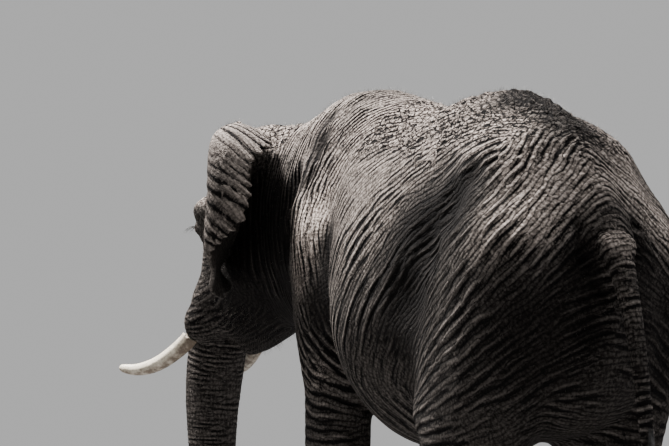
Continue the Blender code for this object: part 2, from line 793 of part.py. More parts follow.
def make_eyes(elephant, helpers):
    """Each eye is a ball, in a pocket that is cut into the head round it."""
    head = elephant.objects["head"]
    for word, facing in (("left", 1), ("right", -1)):
        centre = head_point(EYE_FORWARD, facing * EYE_SIDE, EYE_RISE)
        place(f"eye_{word}", ball("eye", centre, (EYE_RADIUS,) * 3, SMALL_RING_POINTS), elephant, EYE)
        hollow = ball("pocket", centre, (EYE_RADIUS + EYE_CLEARANCE,) * 3, SMALL_RING_POINTS)
        add_cut(head, place(f"eye_pocket_{word}", hollow, helpers), f"pocket_{word}")


def make_nails(elephant, clearance):
    for leg, (sections, facing, stride) in STRIDES.items():
        _, forward, side, half_length, half_width = sections[-2]
        middle = at(forward + step_at(0, stride), facing * side, NAIL_HEIGHT)
        angles = FORE_NAIL_ANGLES if leg.startswith("fore") else HIND_NAIL_ANGLES
        for number, degrees in enumerate(angles, 1):
            turn = math.radians(degrees) * facing
            out = Vector((math.sin(turn) * half_width, -math.cos(turn) * half_length, 0))
            facing_out = Vector((out.x / half_width**2, out.y / half_length**2, 0))
            turned = facing_out.to_track_quat("-Y", "Z").to_matrix().to_4x4()
            shape = ball("nail", Vector(), NAIL_RADII, NAIL_POINTS)
            shape.transform(Matrix.Translation(middle + out * NAIL_STAND_OUT) @ turned)
            nail = place(f"nail_{leg}_{number}", shape, elephant, NAIL)
            add_cut(nail, clearance)


def shade(elephant):
    for piece in elephant.objects:
        piece.data.shade_smooth()
        piece.data.set_sharp_from_angle(angle=SHARP_ANGLE)


def centre_on_box(elephant, helpers):
    """Moves everything so that the middle of the box's base is the origin."""
    bpy.context.view_layer.update()
    graph = bpy.context.evaluated_depsgraph_get()
    corners = []
    for piece in elephant.objects:
        built = piece.evaluated_get(graph)
        corners += [built.matrix_world @ Vector(corner) for corner in built.bound_box]
    low = [min(corner[k] for corner in corners) for k in range(3)]
    high = [max(corner[k] for corner in corners) for k in range(3)]
    shift = Matrix.Translation((-(low[0] + high[0]) / 2, -(low[1] + high[1]) / 2, -low[2]))
    for obj in [*elephant.objects, *helpers.objects]:
        obj.data.transform(shift)


def main():
    clear_scene()
    elephant = new_collection("elephant")
    helpers = new_collection("helpers", hidden=True)
    flesh = fused_flesh(helpers)
    grown = place("clearance", flesh.copy(), helpers)
    grow = grown.modifiers.new("grow", "DISPLACE")
    grow.strength = PART_GAP
    grow.mid_level = 0
    part_flesh(flesh, elephant, helpers)
    make_ears(elephant, grown)
    make_tail(elephant, grown)
    make_tusks(elephant, grown)
    make_eyes(elephant, helpers)
    make_nails(elephant, grown)
    centre_on_box(elephant, helpers)
    shade(elephant)
    for helper in helpers.objects:
        helper.hide_render = True
        helper.display_type = "WIRE"


main()
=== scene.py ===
"""The looks of a life-size African bush elephant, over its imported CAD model.

One skin replaces every node of flesh. It is fused from copies of them, with ears of its own, and then folded
and wrinkled along the lie of the hide. Tusks, eyes, toenails, lashes and bristles are pieces of their own.
"""

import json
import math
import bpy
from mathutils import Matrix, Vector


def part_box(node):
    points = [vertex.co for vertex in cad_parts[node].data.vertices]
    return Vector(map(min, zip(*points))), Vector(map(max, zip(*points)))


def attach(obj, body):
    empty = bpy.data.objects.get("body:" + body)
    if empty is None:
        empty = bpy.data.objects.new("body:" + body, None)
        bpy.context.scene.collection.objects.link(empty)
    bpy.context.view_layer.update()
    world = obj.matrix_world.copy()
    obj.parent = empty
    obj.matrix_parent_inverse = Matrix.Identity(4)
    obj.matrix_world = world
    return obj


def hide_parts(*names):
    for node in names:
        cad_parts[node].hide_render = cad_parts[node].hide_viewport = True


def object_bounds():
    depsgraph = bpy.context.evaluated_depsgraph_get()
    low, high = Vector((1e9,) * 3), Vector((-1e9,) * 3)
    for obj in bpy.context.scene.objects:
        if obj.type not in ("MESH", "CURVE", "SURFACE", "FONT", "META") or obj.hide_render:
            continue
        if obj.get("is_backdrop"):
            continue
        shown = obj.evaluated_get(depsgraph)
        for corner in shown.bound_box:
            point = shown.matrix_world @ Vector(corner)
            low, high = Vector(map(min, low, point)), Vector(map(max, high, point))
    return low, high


bl_info = {
    "name": "Elephant Looks",
    "version": (1, 0, 0),
    "blender": (4, 5, 0),
    "location": "View3D > Sidebar > Elephant",
    "description": "Skin, ears, tusks, eyes, nails and bristles of a standing bush elephant",
    "category": "Object",
}

from collections import namedtuple
from itertools import product

import bmesh
import bpy
import numpy as np
from bpy.props import FloatProperty, FloatVectorProperty, IntProperty, PointerProperty
from mathutils import Matrix, Vector, noise
from mathutils.bvhtree import BVHTree
from mathutils.kdtree import KDTree

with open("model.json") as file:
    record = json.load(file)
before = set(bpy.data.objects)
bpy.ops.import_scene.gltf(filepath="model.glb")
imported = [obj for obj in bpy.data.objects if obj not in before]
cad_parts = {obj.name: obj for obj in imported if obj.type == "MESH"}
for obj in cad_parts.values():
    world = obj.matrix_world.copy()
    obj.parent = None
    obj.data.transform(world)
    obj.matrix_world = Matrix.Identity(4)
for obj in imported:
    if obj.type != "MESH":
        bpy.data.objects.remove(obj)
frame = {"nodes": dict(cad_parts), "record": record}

SUBPARTS = frame["record"]["subparts"]
SKIN_NODES = [part["node"] for part in SUBPARTS if part["material_slot"] == "skin"]
EAR_NODES = [node for node in SKIN_NODES if node.startswith("ear")]
FLESH_NODES = [node for node in SKIN_NODES if node not in EAR_NODES]
BODY_NODES = [node for node in FLESH_NODES if node != "tail"]
NAIL_NODES = [part["node"] for part in SUBPARTS if part["material_slot"] == "toenail"]
SIDES = (("left", 1), ("right", -1))

# ---------------------------------------------------------------- places on the animal

HEAD_FORWARD, HEAD_SIDE, HEAD_HEIGHT = 1.72, 0.08, 2.44
HEAD_TURN = math.radians(10)
EYE_PLACE = (0.610, 0.300, -0.005)


def box_middle(node):
    low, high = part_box(node)
    return (low + high) / 2


def head_turned(forward, side):
    """Forward and side of the body for a place given along the head's own facing."""
    return (
        HEAD_FORWARD + forward * math.cos(HEAD_TURN) - side * math.sin(HEAD_TURN),
        HEAD_SIDE + forward * math.sin(HEAD_TURN) + side * math.cos(HEAD_TURN),
    )


def body_origin():
    """Where the middle of the body lies on the ground, worked out from the left eye."""
    forward, side = head_turned(EYE_PLACE[0], EYE_PLACE[1])
    return box_middle("eye_left") - Vector((side, -forward, HEAD_HEIGHT + EYE_PLACE[2]))


BODY_ORIGIN = body_origin()


def at(forward, side, height):
    """A point so far ahead of the middle of the body, so far to its left and so far above the ground."""
    return BODY_ORIGIN + Vector((side, -forward, height))


def head_point(forward, side, rise):
    """A point given from the head's own joint, along its own facing."""
    turned_forward, turned_side = head_turned(forward, side)
    return at(turned_forward, turned_side, HEAD_HEIGHT + rise)


def head_direction(forward, side, rise):
    return head_point(forward, side, rise) - head_point(0, 0, 0)


# ---------------------------------------------------------------- settings


class ElephantSkinSettings(bpy.types.PropertyGroup):
    form_voxel: FloatProperty(name="Form Voxel", description="Grid fusing the body", default=0.030, unit="LENGTH")
    skin_voxel: FloatProperty(name="Skin Voxel", description="Grid of the skin", default=0.0105, unit="LENGTH")
    fold_depth: FloatProperty(name="Fold Depth", description="Depth of a main fold", default=0.0050, unit="LENGTH")
    fold_relief: FloatProperty(
        name="Fold Relief", description="Height of the folds' sharp edges", default=0.0070, unit="LENGTH"
    )
    cobbles: FloatProperty(name="Cobbles", description="Height of the back's lumps", default=0.012, unit="LENGTH")
    overhang: FloatProperty(name="Overhang", description="How far a fold leans downwards", default=0.4)
    triangles: IntProperty(name="Triangles", description="Triangles kept in the skin", default=196000, min=20000)
    seed: IntProperty(name="Seed", description="Changes where the folds fork and end", default=7)
    # the colour of the painted shade in the creases and in the darkest painted hollows
    dark: FloatVectorProperty(
        name="Crease Colour", description="In creases", subtype="COLOR", size=3, default=(0.005, 0.0045, 0.0045)
    )
    middle: FloatVectorProperty(
        name="Hide Colour", description="Bare hide", subtype="COLOR", size=3, default=(0.060, 0.054, 0.050)
    )
    # dust colour, also used for painted highlights on the crests of the folds and for painted light
    dusty: FloatVectorProperty(
        name="Dust Colour", description="Dried dust", subtype="COLOR", size=3, default=(0.50, 0.435, 0.395)
    )
    # mud colour, also laid down as painted shade in hollows, low on the body and where shadow falls on the flank
    # and under the ears
    muddy: FloatVectorProperty(
        name="Mud Colour", description="Damp mud", subtype="COLOR", size=3, default=(0.017, 0.015, 0.014)
    )


# ---------------------------------------------------------------- shape tools


def between(a, b, c, d, t):
    """The value so far from b to c on the smooth curve through four evenly spaced ones."""
    bend = 2 * a - 5 * b + 4 * c - d
    twist = 3 * b - a - 3 * c + d
    return (2 * b + (c - a) * t + bend * t**2 + twist * t**3) / 2


def eased(rows, steps):
    """Rows of numbers read from a smooth curve through the given ones, with so many steps to a span."""
    padded = [rows[0], *rows, rows[-1]]
    found = []
    for spans in zip(padded, padded[1:], padded[2:], padded[3:]):
        for step in range(steps):
            found.append(tuple(between(*values, step / steps) for values in zip(*spans)))
    return [*found, tuple(rows[-1])]


def smoothstep(low, high, values):
    t = np.clip((values - low) / (high - low), 0, 1)
    return t * t * (3 - 2 * t)


def new_object(name, mesh):
    made = bpy.data.objects.new(name, mesh)
    bpy.context.scene.collection.objects.link(made)
    return made


def mesh_from(name, built):
    mesh = bpy.data.meshes.new(name)
    built.to_mesh(mesh)
    built.free()
    return mesh


def applied(obj):
    """The object's mesh with its modifiers applied. The object itself is removed."""
    bpy.context.view_layer.update()
    graph = bpy.context.evaluated_depsgraph_get()
    mesh = bpy.data.meshes.new_from_object(obj.evaluated_get(graph))
    bpy.data.objects.remove(obj, do_unlink=True)
    return mesh


def merged_copy(nodes):
    """A bmesh of copies of these CAD nodes with their corners merged."""
    built = bmesh.new()
    for node in nodes:
        built.from_mesh(frame["nodes"][node].data)
    bmesh.ops.remove_doubles(built, verts=built.verts, dist=0.00005)
    return built


def joined(name, meshes):
    built = bmesh.new()
    for mesh in meshes:
        built.from_mesh(mesh)
    return mesh_from(name, built)


def add_modifier(obj, kind, **values):
    made = obj.modifiers.new(kind.lower(), kind)
    for key, value in values.items():
        setattr(made, key, value)
    return made


def points_of(mesh):
    found = np.empty(len(mesh.vertices) * 3)
    mesh.vertices.foreach_get("co", found)
    return found.reshape(-1, 3)


def normals_of(mesh):
    found = np.empty(len(mesh.vertices) * 3)
    mesh.vertex_normals.foreach_get("vector", found)
    return found.reshape(-1, 3)


def move_points(mesh, points):
    mesh.vertices.foreach_set("co", np.ascontiguousarray(points).ravel())
    mesh.update()


def store(mesh, name, values):
    """Keeps a number or a direction for each point of the mesh."""
    if values.ndim == 1:
        made = mesh.attributes.new(name, "FLOAT", "POINT")
        made.data.foreach_set("value", values)
    else:
        made = mesh.attributes.new(name, "FLOAT_VECTOR", "POINT")
        made.data.foreach_set("vector", values.ravel())


def kept(mesh, name):
    """What the mesh keeps under this name for each of its points."""
    known = mesh.attributes[name]
    if known.data_type == "FLOAT_VECTOR":
        values = np.empty(len(mesh.vertices) * 3, np.float32)
        known.data.foreach_get("vector", values)
        return values.reshape(-1, 3)
    values = np.empty(len(mesh.vertices), np.float32)
    known.data.foreach_get("value", values)
    return values


# what varies over the hide at random: the size of its lumps and its seed
CLOUDS = {
    "phase": (0.16, 1),
    "depth": (0.28, 2),
    "upward": (0.5, 3),
    "high_up": (0.35, 4),
    "lined": (0.25, 5),
    "cobbles": (0.050, 6),
    "fine_depth": (0.09, 7),
    "spacing": (0.30, 8),
}


def cloud(points, name):
    """Smooth noise from about -1 to 1 at these points."""
    size, seed = CLOUDS[name]
    offset = Vector((seed * 7.3, seed * 3.1, seed * 5.7))
    return np.array([noise.noise(Vector(p) / size + offset) for p in points.tolist()]) * 1.6


# ---------------------------------------------------------------- ears

# back from the root, up from its middle, width of the rolled rim there
EAR_MARGIN = (
    (0.02, 0.42, 0.06),
    (0.13, 0.475, 0.15),
    (0.32, 0.525, 0.19),
    (0.56, 0.515, 0.25),
    (0.81, 0.42, 0.27),
    (0.92, 0.18, 0.25),
    (0.92, -0.05, 0.18),
    (0.85, -0.24, 0.07),
    (0.72, -0.36, 0.045),
    (0.55, -0.44, 0.045),
    (0.41, -0.475, 0.045),
    (0.26, -0.465, 0.045),
    (0.12, -0.44, 0.045),
    (0.02, -0.40, 0.045),
)
EAR_ROOT_TOP = (0.09, 0.25, 0.40)
EAR_ROOT_LOW = (0.27, 0.335, -0.34)
EAR_ROOT_REACH = 0.25
EAR_ROOT_MIDDLE_RISE = 0.08
EAR_ROLL_TURN = math.radians(105)
EAR_SPREAD = math.radians(47.5)
EAR_ROLL_RADIUS = 0.075
EAR_CAMBER = 0.05
EAR_DROOP = 0.5
# how nearly the pleats of an ear are thin cords
EAR_CORD = 0.65
# how unevenly the pleats are set, the width of a full roll, and from where outwards an ear is loose enough to wave
PLEAT_WANDER, PLEAT_SHIVER = 1.7, 0.9
FULL_ROLL = 0.2
LOOSE_FROM, LOOSENESS = 0.45, 2.2
ROOT_SHARE = 1.15
EAR_ACROSS, EAR_AROUND = 84, 260
MARGIN_STEPS = 8


class ElephantEarSettings(bpy.types.PropertyGroup):
    thick: FloatProperty(name="Thickness", description="Ear's thickness at its root", default=0.036, unit="LENGTH")
    rim: FloatProperty(name="Rim", description="Ear's thickness at its edge", default=0.020, unit="LENGTH")
    wave: FloatProperty(name="Wave", description="Height of the broad waves", default=0.022, unit="LENGTH")
    pleat: FloatProperty(name="Pleat", description="Height of the pleats", default=0.026, unit="LENGTH")
    slant: FloatProperty(name="Slant", description="Pleats crossed by a metre of the rolled flap", default=4.5)
    scallop: FloatProperty(name="Scallop", description="How far the flap's edge swings in and out", default=0.14)
    waves: FloatProperty(name="Waves", description="Broad waves round the edge", default=5.5)
    pleats: FloatProperty(name="Pleats", description="Pleats round the edge", default=42)


def ear_point(facing, root_share, back, rise, inward):
    """A point of the ear: back along its blade, up, and inward towards the neck from the blade's plane."""
    root = [top + (low - top) * root_share for top, low in zip(EAR_ROOT_TOP, EAR_ROOT_LOW)]
    out = math.sin(EAR_SPREAD)
    away = math.cos(EAR_SPREAD)
    forward = root[0] - back * away - inward * out
    side = root[1] + back * out - inward * away
    return head_point(forward, facing * side, rise)


def ear_profile(distance, blade):
    """How far out and inward the sheet lies after so much of its length, rolling over past the blade."""
    if distance <= blade:
        return distance, 0.0
    bend = min((distance - blade) / EAR_ROLL_RADIUS, EAR_ROLL_TURN)
    beyond = distance - blade - EAR_ROLL_RADIUS * bend
    out = blade + EAR_ROLL_RADIUS * math.sin(bend) + beyond * math.cos(bend)
    inward = EAR_ROLL_RADIUS * (1 - math.cos(bend)) + beyond * math.sin(bend)
    return out, inward


def ear_place(facing, share, reached, settings, margin):
    """Where the ear's sheet lies at this share of its margin, this far from root to edge.

    With it come the number of pleats counted off up to there and how strong they are.
    """
    place = share * (len(margin) - 1)
    index = min(int(place), len(margin) - 2)
    back, up, roll_width = (
        low + (high - low) * (place - index) for low, high in zip(margin[index], margin[index + 1])
    )
    root_up = EAR_ROOT_REACH * (1 - 2 * share)
    length = math.hypot(back, up - root_up)
    roll_turn = min(roll_width / EAR_ROLL_RADIUS, math.pi / 2)
    blade = length - EAR_ROLL_RADIUS * math.sin(roll_turn)
    uneven = PLEAT_WANDER * noise.noise(Vector((share * 9, 0.5, facing)))
    lobed = abs(math.cos(math.pi * (share * settings.pleats - roll_width * settings.slant + uneven)))
    roll_width *= 1 + settings.scallop * (lobed - 0.6) * reached
    distance = reached * (blade + roll_width)
    out, inward = ear_profile(distance, blade)
    part = out / length
    loose = max(0.0, reached - LOOSE_FROM) ** 1.5 * LOOSENESS
    wave = settings.wave * math.sin(share * settings.waves * 2 * math.pi) * loose
    rolled = max(0.0, distance - blade)
    slant = share * settings.pleats - rolled * settings.slant
    slant += uneven + PLEAT_SHIVER * noise.noise(Vector((share * 14, reached * 3, facing)))
    wide = min(1.0, roll_width / FULL_ROLL)
    strong = max(0.2, 0.85 + 0.8 * noise.noise(Vector((share * 11, reached * 3, 4 + facing))))
    strong *= smoothstep(-0.05, 0.10, distance - blade) * wide
    pleat = settings.pleat * strong * (fold_profile(2 * math.pi * slant, EAR_CORD) - 0.5)
    camber = -EAR_CAMBER * math.sin(math.pi * min(reached * ROOT_SHARE, 1.0))
    droop = -EAR_DROOP * rolled * wide
    rise = EAR_ROOT_MIDDLE_RISE + root_up + (up - root_up) * part + droop
    return ear_point(facing, share, back * part, rise, inward + camber + wave + pleat), slant, float(strong)


def ear_grid(facing, settings):
    """A grid along the middle of the ear's sheet, with how far out it is and its pleats at each corner."""
    built = bmesh.new()
    bmesh.ops.create_grid(built, x_segments=EAR_ACROSS, y_segments=EAR_AROUND, size=0.5)
    margin = eased(EAR_MARGIN, MARGIN_STEPS)
    told = []
    for vertex in built.verts:
        reached, share = vertex.co.x + 0.5, vertex.co.y + 0.5
        vertex.co, pleats, strong = ear_place(facing, share, reached, settings, margin)
        told.append((reached, pleats, strong))
    return mesh_from("ear_sheet", built), told


def ear_mesh(facing, settings):
    """One ear as a closed sheet with its thickness."""
    mesh, told = ear_grid(facing, settings)
    ear = new_object("ear_sheet", mesh)
    fullness = ear.vertex_groups.new(name="fullness")
    for index, (reached, *_) in enumerate(told):
        fullness.add([index], max(0.0, 1 - reached * ROOT_SHARE) ** 1.3, "REPLACE")
    add_modifier(
        ear, "SOLIDIFY", thickness=settings.thick, offset=0, vertex_group="fullness",
        thickness_vertex_group=settings.rim / settings.thick,
    )
    return applied(ear)


def ear_lies(facing, settings):
    """The lie of the fine lines on an ear: along its pleats, from root to edge."""
    margin = eased(EAR_MARGIN, MARGIN_STEPS)
    found = []
    step = 0.03
    for share in np.linspace(0.06, 0.94, 12):
        for reached in (0.3, 0.5, 0.7, 0.85, 0.97):
            place = ear_place(facing, share, reached, settings, margin)[0]
            shift = settings.slant / settings.pleats * step * (reached > 0.6)
            ahead = ear_place(facing, share + shift, reached + step, settings, margin)[0]
            found.append(Lie(place, ahead - place, *EAR_LINES))
    return found


# ---------------------------------------------------------------- the fused form


def fused_form(nodes, voxel, smoothing, grow=0.002):
    """One smooth closed mesh over these CAD nodes. They are grown a little, so that the cuts between them close."""
    form = new_object("form", mesh_from("form", merged_copy(nodes)))
    add_modifier(form, "DISPLACE", strength=grow, mid_level=0)
    add_modifier(form, "REMESH", mode="VOXEL", voxel_size=voxel)
    add_modifier(form, "SMOOTH", factor=0.5, iterations=smoothing)
    return applied(form)


def skin_form(settings, ears):
    """The whole skin before its folds: body, head, trunk and legs, with the tail and both ears grown on."""
    body = new_object("body", fused_form(BODY_NODES, settings.form_voxel, 7))
    add_modifier(body, "SUBSURF", levels=1, render_levels=1)
    sheets = [ear_mesh(facing, ears) for _, facing in SIDES]
    tail = fused_form(["tail"], settings.skin_voxel, 6)
    whole = new_object("whole", joined("whole", [applied(body), tail, *sheets]))
    coarser = 1
    add_modifier(whole, "REMESH", mode="VOXEL", voxel_size=settings.skin_voxel * coarser)
    add_modifier(whole, "SMOOTH", factor=0.5, iterations=3)
    return applied(whole)


def ear_pleats(points, settings):
    """For each point: 1 if it lies on an ear, then the phase of the ear's pleats there and their strength."""
    share, phase, strength = np.zeros((3, len(points)))
    for word, facing in SIDES:
        low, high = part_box(f"ear_{word}")
        inside = np.flatnonzero(np.all((points > low) & (points < high), axis=1))
        sheet, told = ear_grid(facing, settings)
        corners = [vertex.co.copy() for vertex in sheet.vertices]
        faces = [tuple(face.vertices) for face in sheet.polygons]
        bpy.data.meshes.remove(sheet)
        tree = BVHTree.FromPolygons(corners, faces)
        for index in inside:
            found, _, face, _ = tree.find_nearest(points[index], 0.03)
            if found:
                nearness = [1 / ((corners[corner] - found).length + 1e-4) for corner in faces[face]]
                blend = np.average([told[corner] for corner in faces[face]], axis=0, weights=nearness)
                share[index], phase[index], strength[index] = 1, 2 * math.pi * blend[1], blend[2]
    return share, phase, strength


# ---------------------------------------------------------------- sculpting

# place, reach and push of a dab; a push is outwards, so a hollow has a negative one
BODY_DABS = (
    ((-1.05, 0.50, 2.70), 0.13, -0.030),  # pit in front of the hip
    ((-0.92, 0.56, 2.54), 0.20, -0.060),
    ((-0.78, 0.58, 2.34), 0.24, -0.052),
    ((-0.62, 0.60, 2.08), 0.24, -0.036),
    ((-0.35, 0.60, 2.45), 0.30, 0.014),  # swell of the belly
    ((-1.60, 0.15, 2.26), 0.14, -0.020),  # either side of the tail
    ((-1.62, 0.12, 2.08), 0.12, -0.025),
    ((-1.62, 0.12, 1.92), 0.13, -0.030),
    ((-1.67, 0.07, 2.33), 0.085, 0.026),  # head of the tail
    ((-1.50, 0.33, 2.34), 0.20, 0.024),  # buttock
    ((-1.50, 0.30, 2.52), 0.18, 0.020),
    ((-0.62, 0.46, 1.50), 0.16, 0.020),  # web of skin in front of the thigh
    ((0.48, 0.42, 1.78), 0.14, -0.030),  # behind the elbow
    ((0.62, 0.50, 1.66), 0.12, 0.014),
    ((0.98, 0.30, 2.98), 0.16, 0.014),  # top of the shoulder blade
    ((0.74, 0.50, 2.40), 0.22, 0.022),
    ((1.14, 0.40, 2.62), 0.20, -0.050),  # hollow in front of the shoulder
    ((1.12, 0.42, 2.34), 0.20, -0.050),
    ((1.10, 0.42, 2.06), 0.18, -0.040),
    ((-0.55, 0.00, 1.27), 0.20, 0.030),
)
HEAD_DABS = (
    ((0.530, 0.310, 0.120), 0.100, 0.005),  # brow
    ((0.610, 0.300, -0.070), 0.060, 0.008),  # pouch under the eye
    ((0.340, 0.300, 0.250), 0.140, -0.022),  # hollow of the temple
    ((0.440, 0.310, 0.020), 0.060, -0.008),  # gland of the temple
    ((0.250, 0.330, 0.000), 0.100, 0.010),  # in front of the ear's hole
    ((0.720, 0.260, -0.520), 0.090, 0.018),  # lip over the tusk
    ((0.640, 0.240, -0.230), 0.130, 0.018),  # cheek above it
    ((0.680, 0.250, -0.370), 0.120, 0.016),
    ((0.480, 0.130, -0.700), 0.060, 0.012),  # lower lip
    ((0.560, 0.100, -0.735), 0.050, 0.010),
    ((0.350, 0.020, -2.085), 0.024, -0.030),  # nostrils
)
MOUTH_PATH = (
    # forward, side, rise along the line of the lips
    (0.655, 0.060, -0.662),
    (0.600, 0.095, -0.640),
    (0.500, 0.135, -0.602),
    (0.400, 0.175, -0.560),
    (0.310, 0.205, -0.525),
    (0.230, 0.225, -0.490),
)
MOUTH_REACH, MOUTH_DEPTH = 0.026, 0.020
# the great folds: reach and push along a path of places on the body
GREAT_FOLDS = (
    (0.052, -0.050, ((-1.55, 0.16, 2.44), (-1.59, 0.17, 2.33), (-1.62, 0.13, 2.21), (-1.65, 0.06, 2.09))),
    (0.095, -0.034, ((0.66, 0.44, 2.56), (0.58, 0.47, 2.36), (0.56, 0.48, 2.16), (0.53, 0.50, 1.92))),
    (0.130, 0.014, ((0.84, 0.44, 2.62), (0.84, 0.48, 2.42), (0.84, 0.50, 2.20), (0.80, 0.50, 1.98))),
    (0.110, 0.010, ((0.40, 0.52, 2.50), (0.36, 0.56, 2.30), (0.34, 0.58, 2.10))),
    (0.055, -0.028, ((0.99, 0.12, 3.10), (0.97, 0.27, 3.01), (0.89, 0.36, 2.86), (0.92, 0.45, 2.63))),
    (0.055, 0.018, ((0.89, 0.12, 3.12), (0.87, 0.27, 3.02), (0.79, 0.38, 2.87), (0.81, 0.46, 2.63))),
    (0.055, 0.018, ((1.09, 0.12, 3.08), (1.07, 0.26, 2.98), (0.99, 0.35, 2.84), (1.03, 0.43, 2.62))),
    (0.045, -0.018, ((0.80, 0.14, 3.12), (0.78, 0.28, 3.02), (0.69, 0.39, 2.87), (0.70, 0.46, 2.64))),
)


def all_dabs():
    """Every dab on both sides, in place."""
    found = []
    for facing in (1, -1):
        found += [(at(x, facing * y, z), reach, push) for (x, y, z), reach, push in BODY_DABS]
        found += [(head_point(x, facing * y, z), reach, push) for (x, y, z), reach, push in HEAD_DABS]
        for reach, push, path in GREAT_FOLDS:
            steps = eased(path, 4)
            crowding = 2.2 * reach / (Vector(path[0]) - Vector(path[-1])).length * len(steps)
            found += [(at(x, facing * y, z), reach, push / max(crowding, 1)) for x, y, z in steps]
        for forward, side, rise in eased(MOUTH_PATH, 3):
            found.append((head_point(forward, facing * side, rise), MOUTH_REACH, -MOUTH_DEPTH / 2))
    return found


EYE_GAZE = (0.72, 0.69, -0.03)
SOCKET_REACH = 0.046
SOCKET_DEPTH = 0.008


def eye_frame(facing):
    """Centre of the eye, the way it looks, the way its corner points and its own upward direction."""
    forward, side, rise = EYE_PLACE
    gaze = head_direction(EYE_GAZE[0], facing * EYE_GAZE[1], EYE_GAZE[2]).normalized()
    corner = Vector((0, 0, 1)).cross(gaze).normalized()
    return head_point(forward, facing * side, rise), gaze, corner, gaze.cross(corner)


def press_sockets(points):
    """Moves the skin that would cross an eye back behind its middle."""
    for _, facing in SIDES:
        centre, gaze, *_ = (np.array(vector) for vector in eye_frame(facing))
        offset = points - centre
        height = offset @ gaze
        radial = np.linalg.norm(offset - height[:, None] * gaze, axis=1)
        near = (radial < SOCKET_REACH) & (np.abs(height) < 0.06)
        share = 1 - smoothstep(0.018, SOCKET_REACH, radial[near])
        points[near] += ((-SOCKET_DEPTH - height[near]) * share)[:, None] * gaze


def sculpted(mesh):
    """Presses every dab into the mesh, each along the skin's own normals."""
    points, normals = points_of(mesh), normals_of(mesh)
    pushed = np.zeros(len(points))
    for place, reach, push in all_dabs():
        offset = points - np.array(place)
        share = np.einsum("ij,ij->i", offset, offset) / reach**2
        near = share < 1
        pushed[near] += push * (1 - share[near]) ** 2
    points += normals * pushed[:, None]
    press_sockets(points)
    move_points(mesh, points)
    store(mesh, "pressed", pushed)
    return mesh


# ---------------------------------------------------------------- the lie of the folds

# A Lie says which way the creases run round a place on the left side, how far apart and how deep they are there,
# and how far that reaches. kind "line": along the direction given. "round": rings round the place. "axis": rings
# round that direction.
Lie = namedtuple("Lie", "place towards spacing depth reach kind", defaults=("line",))

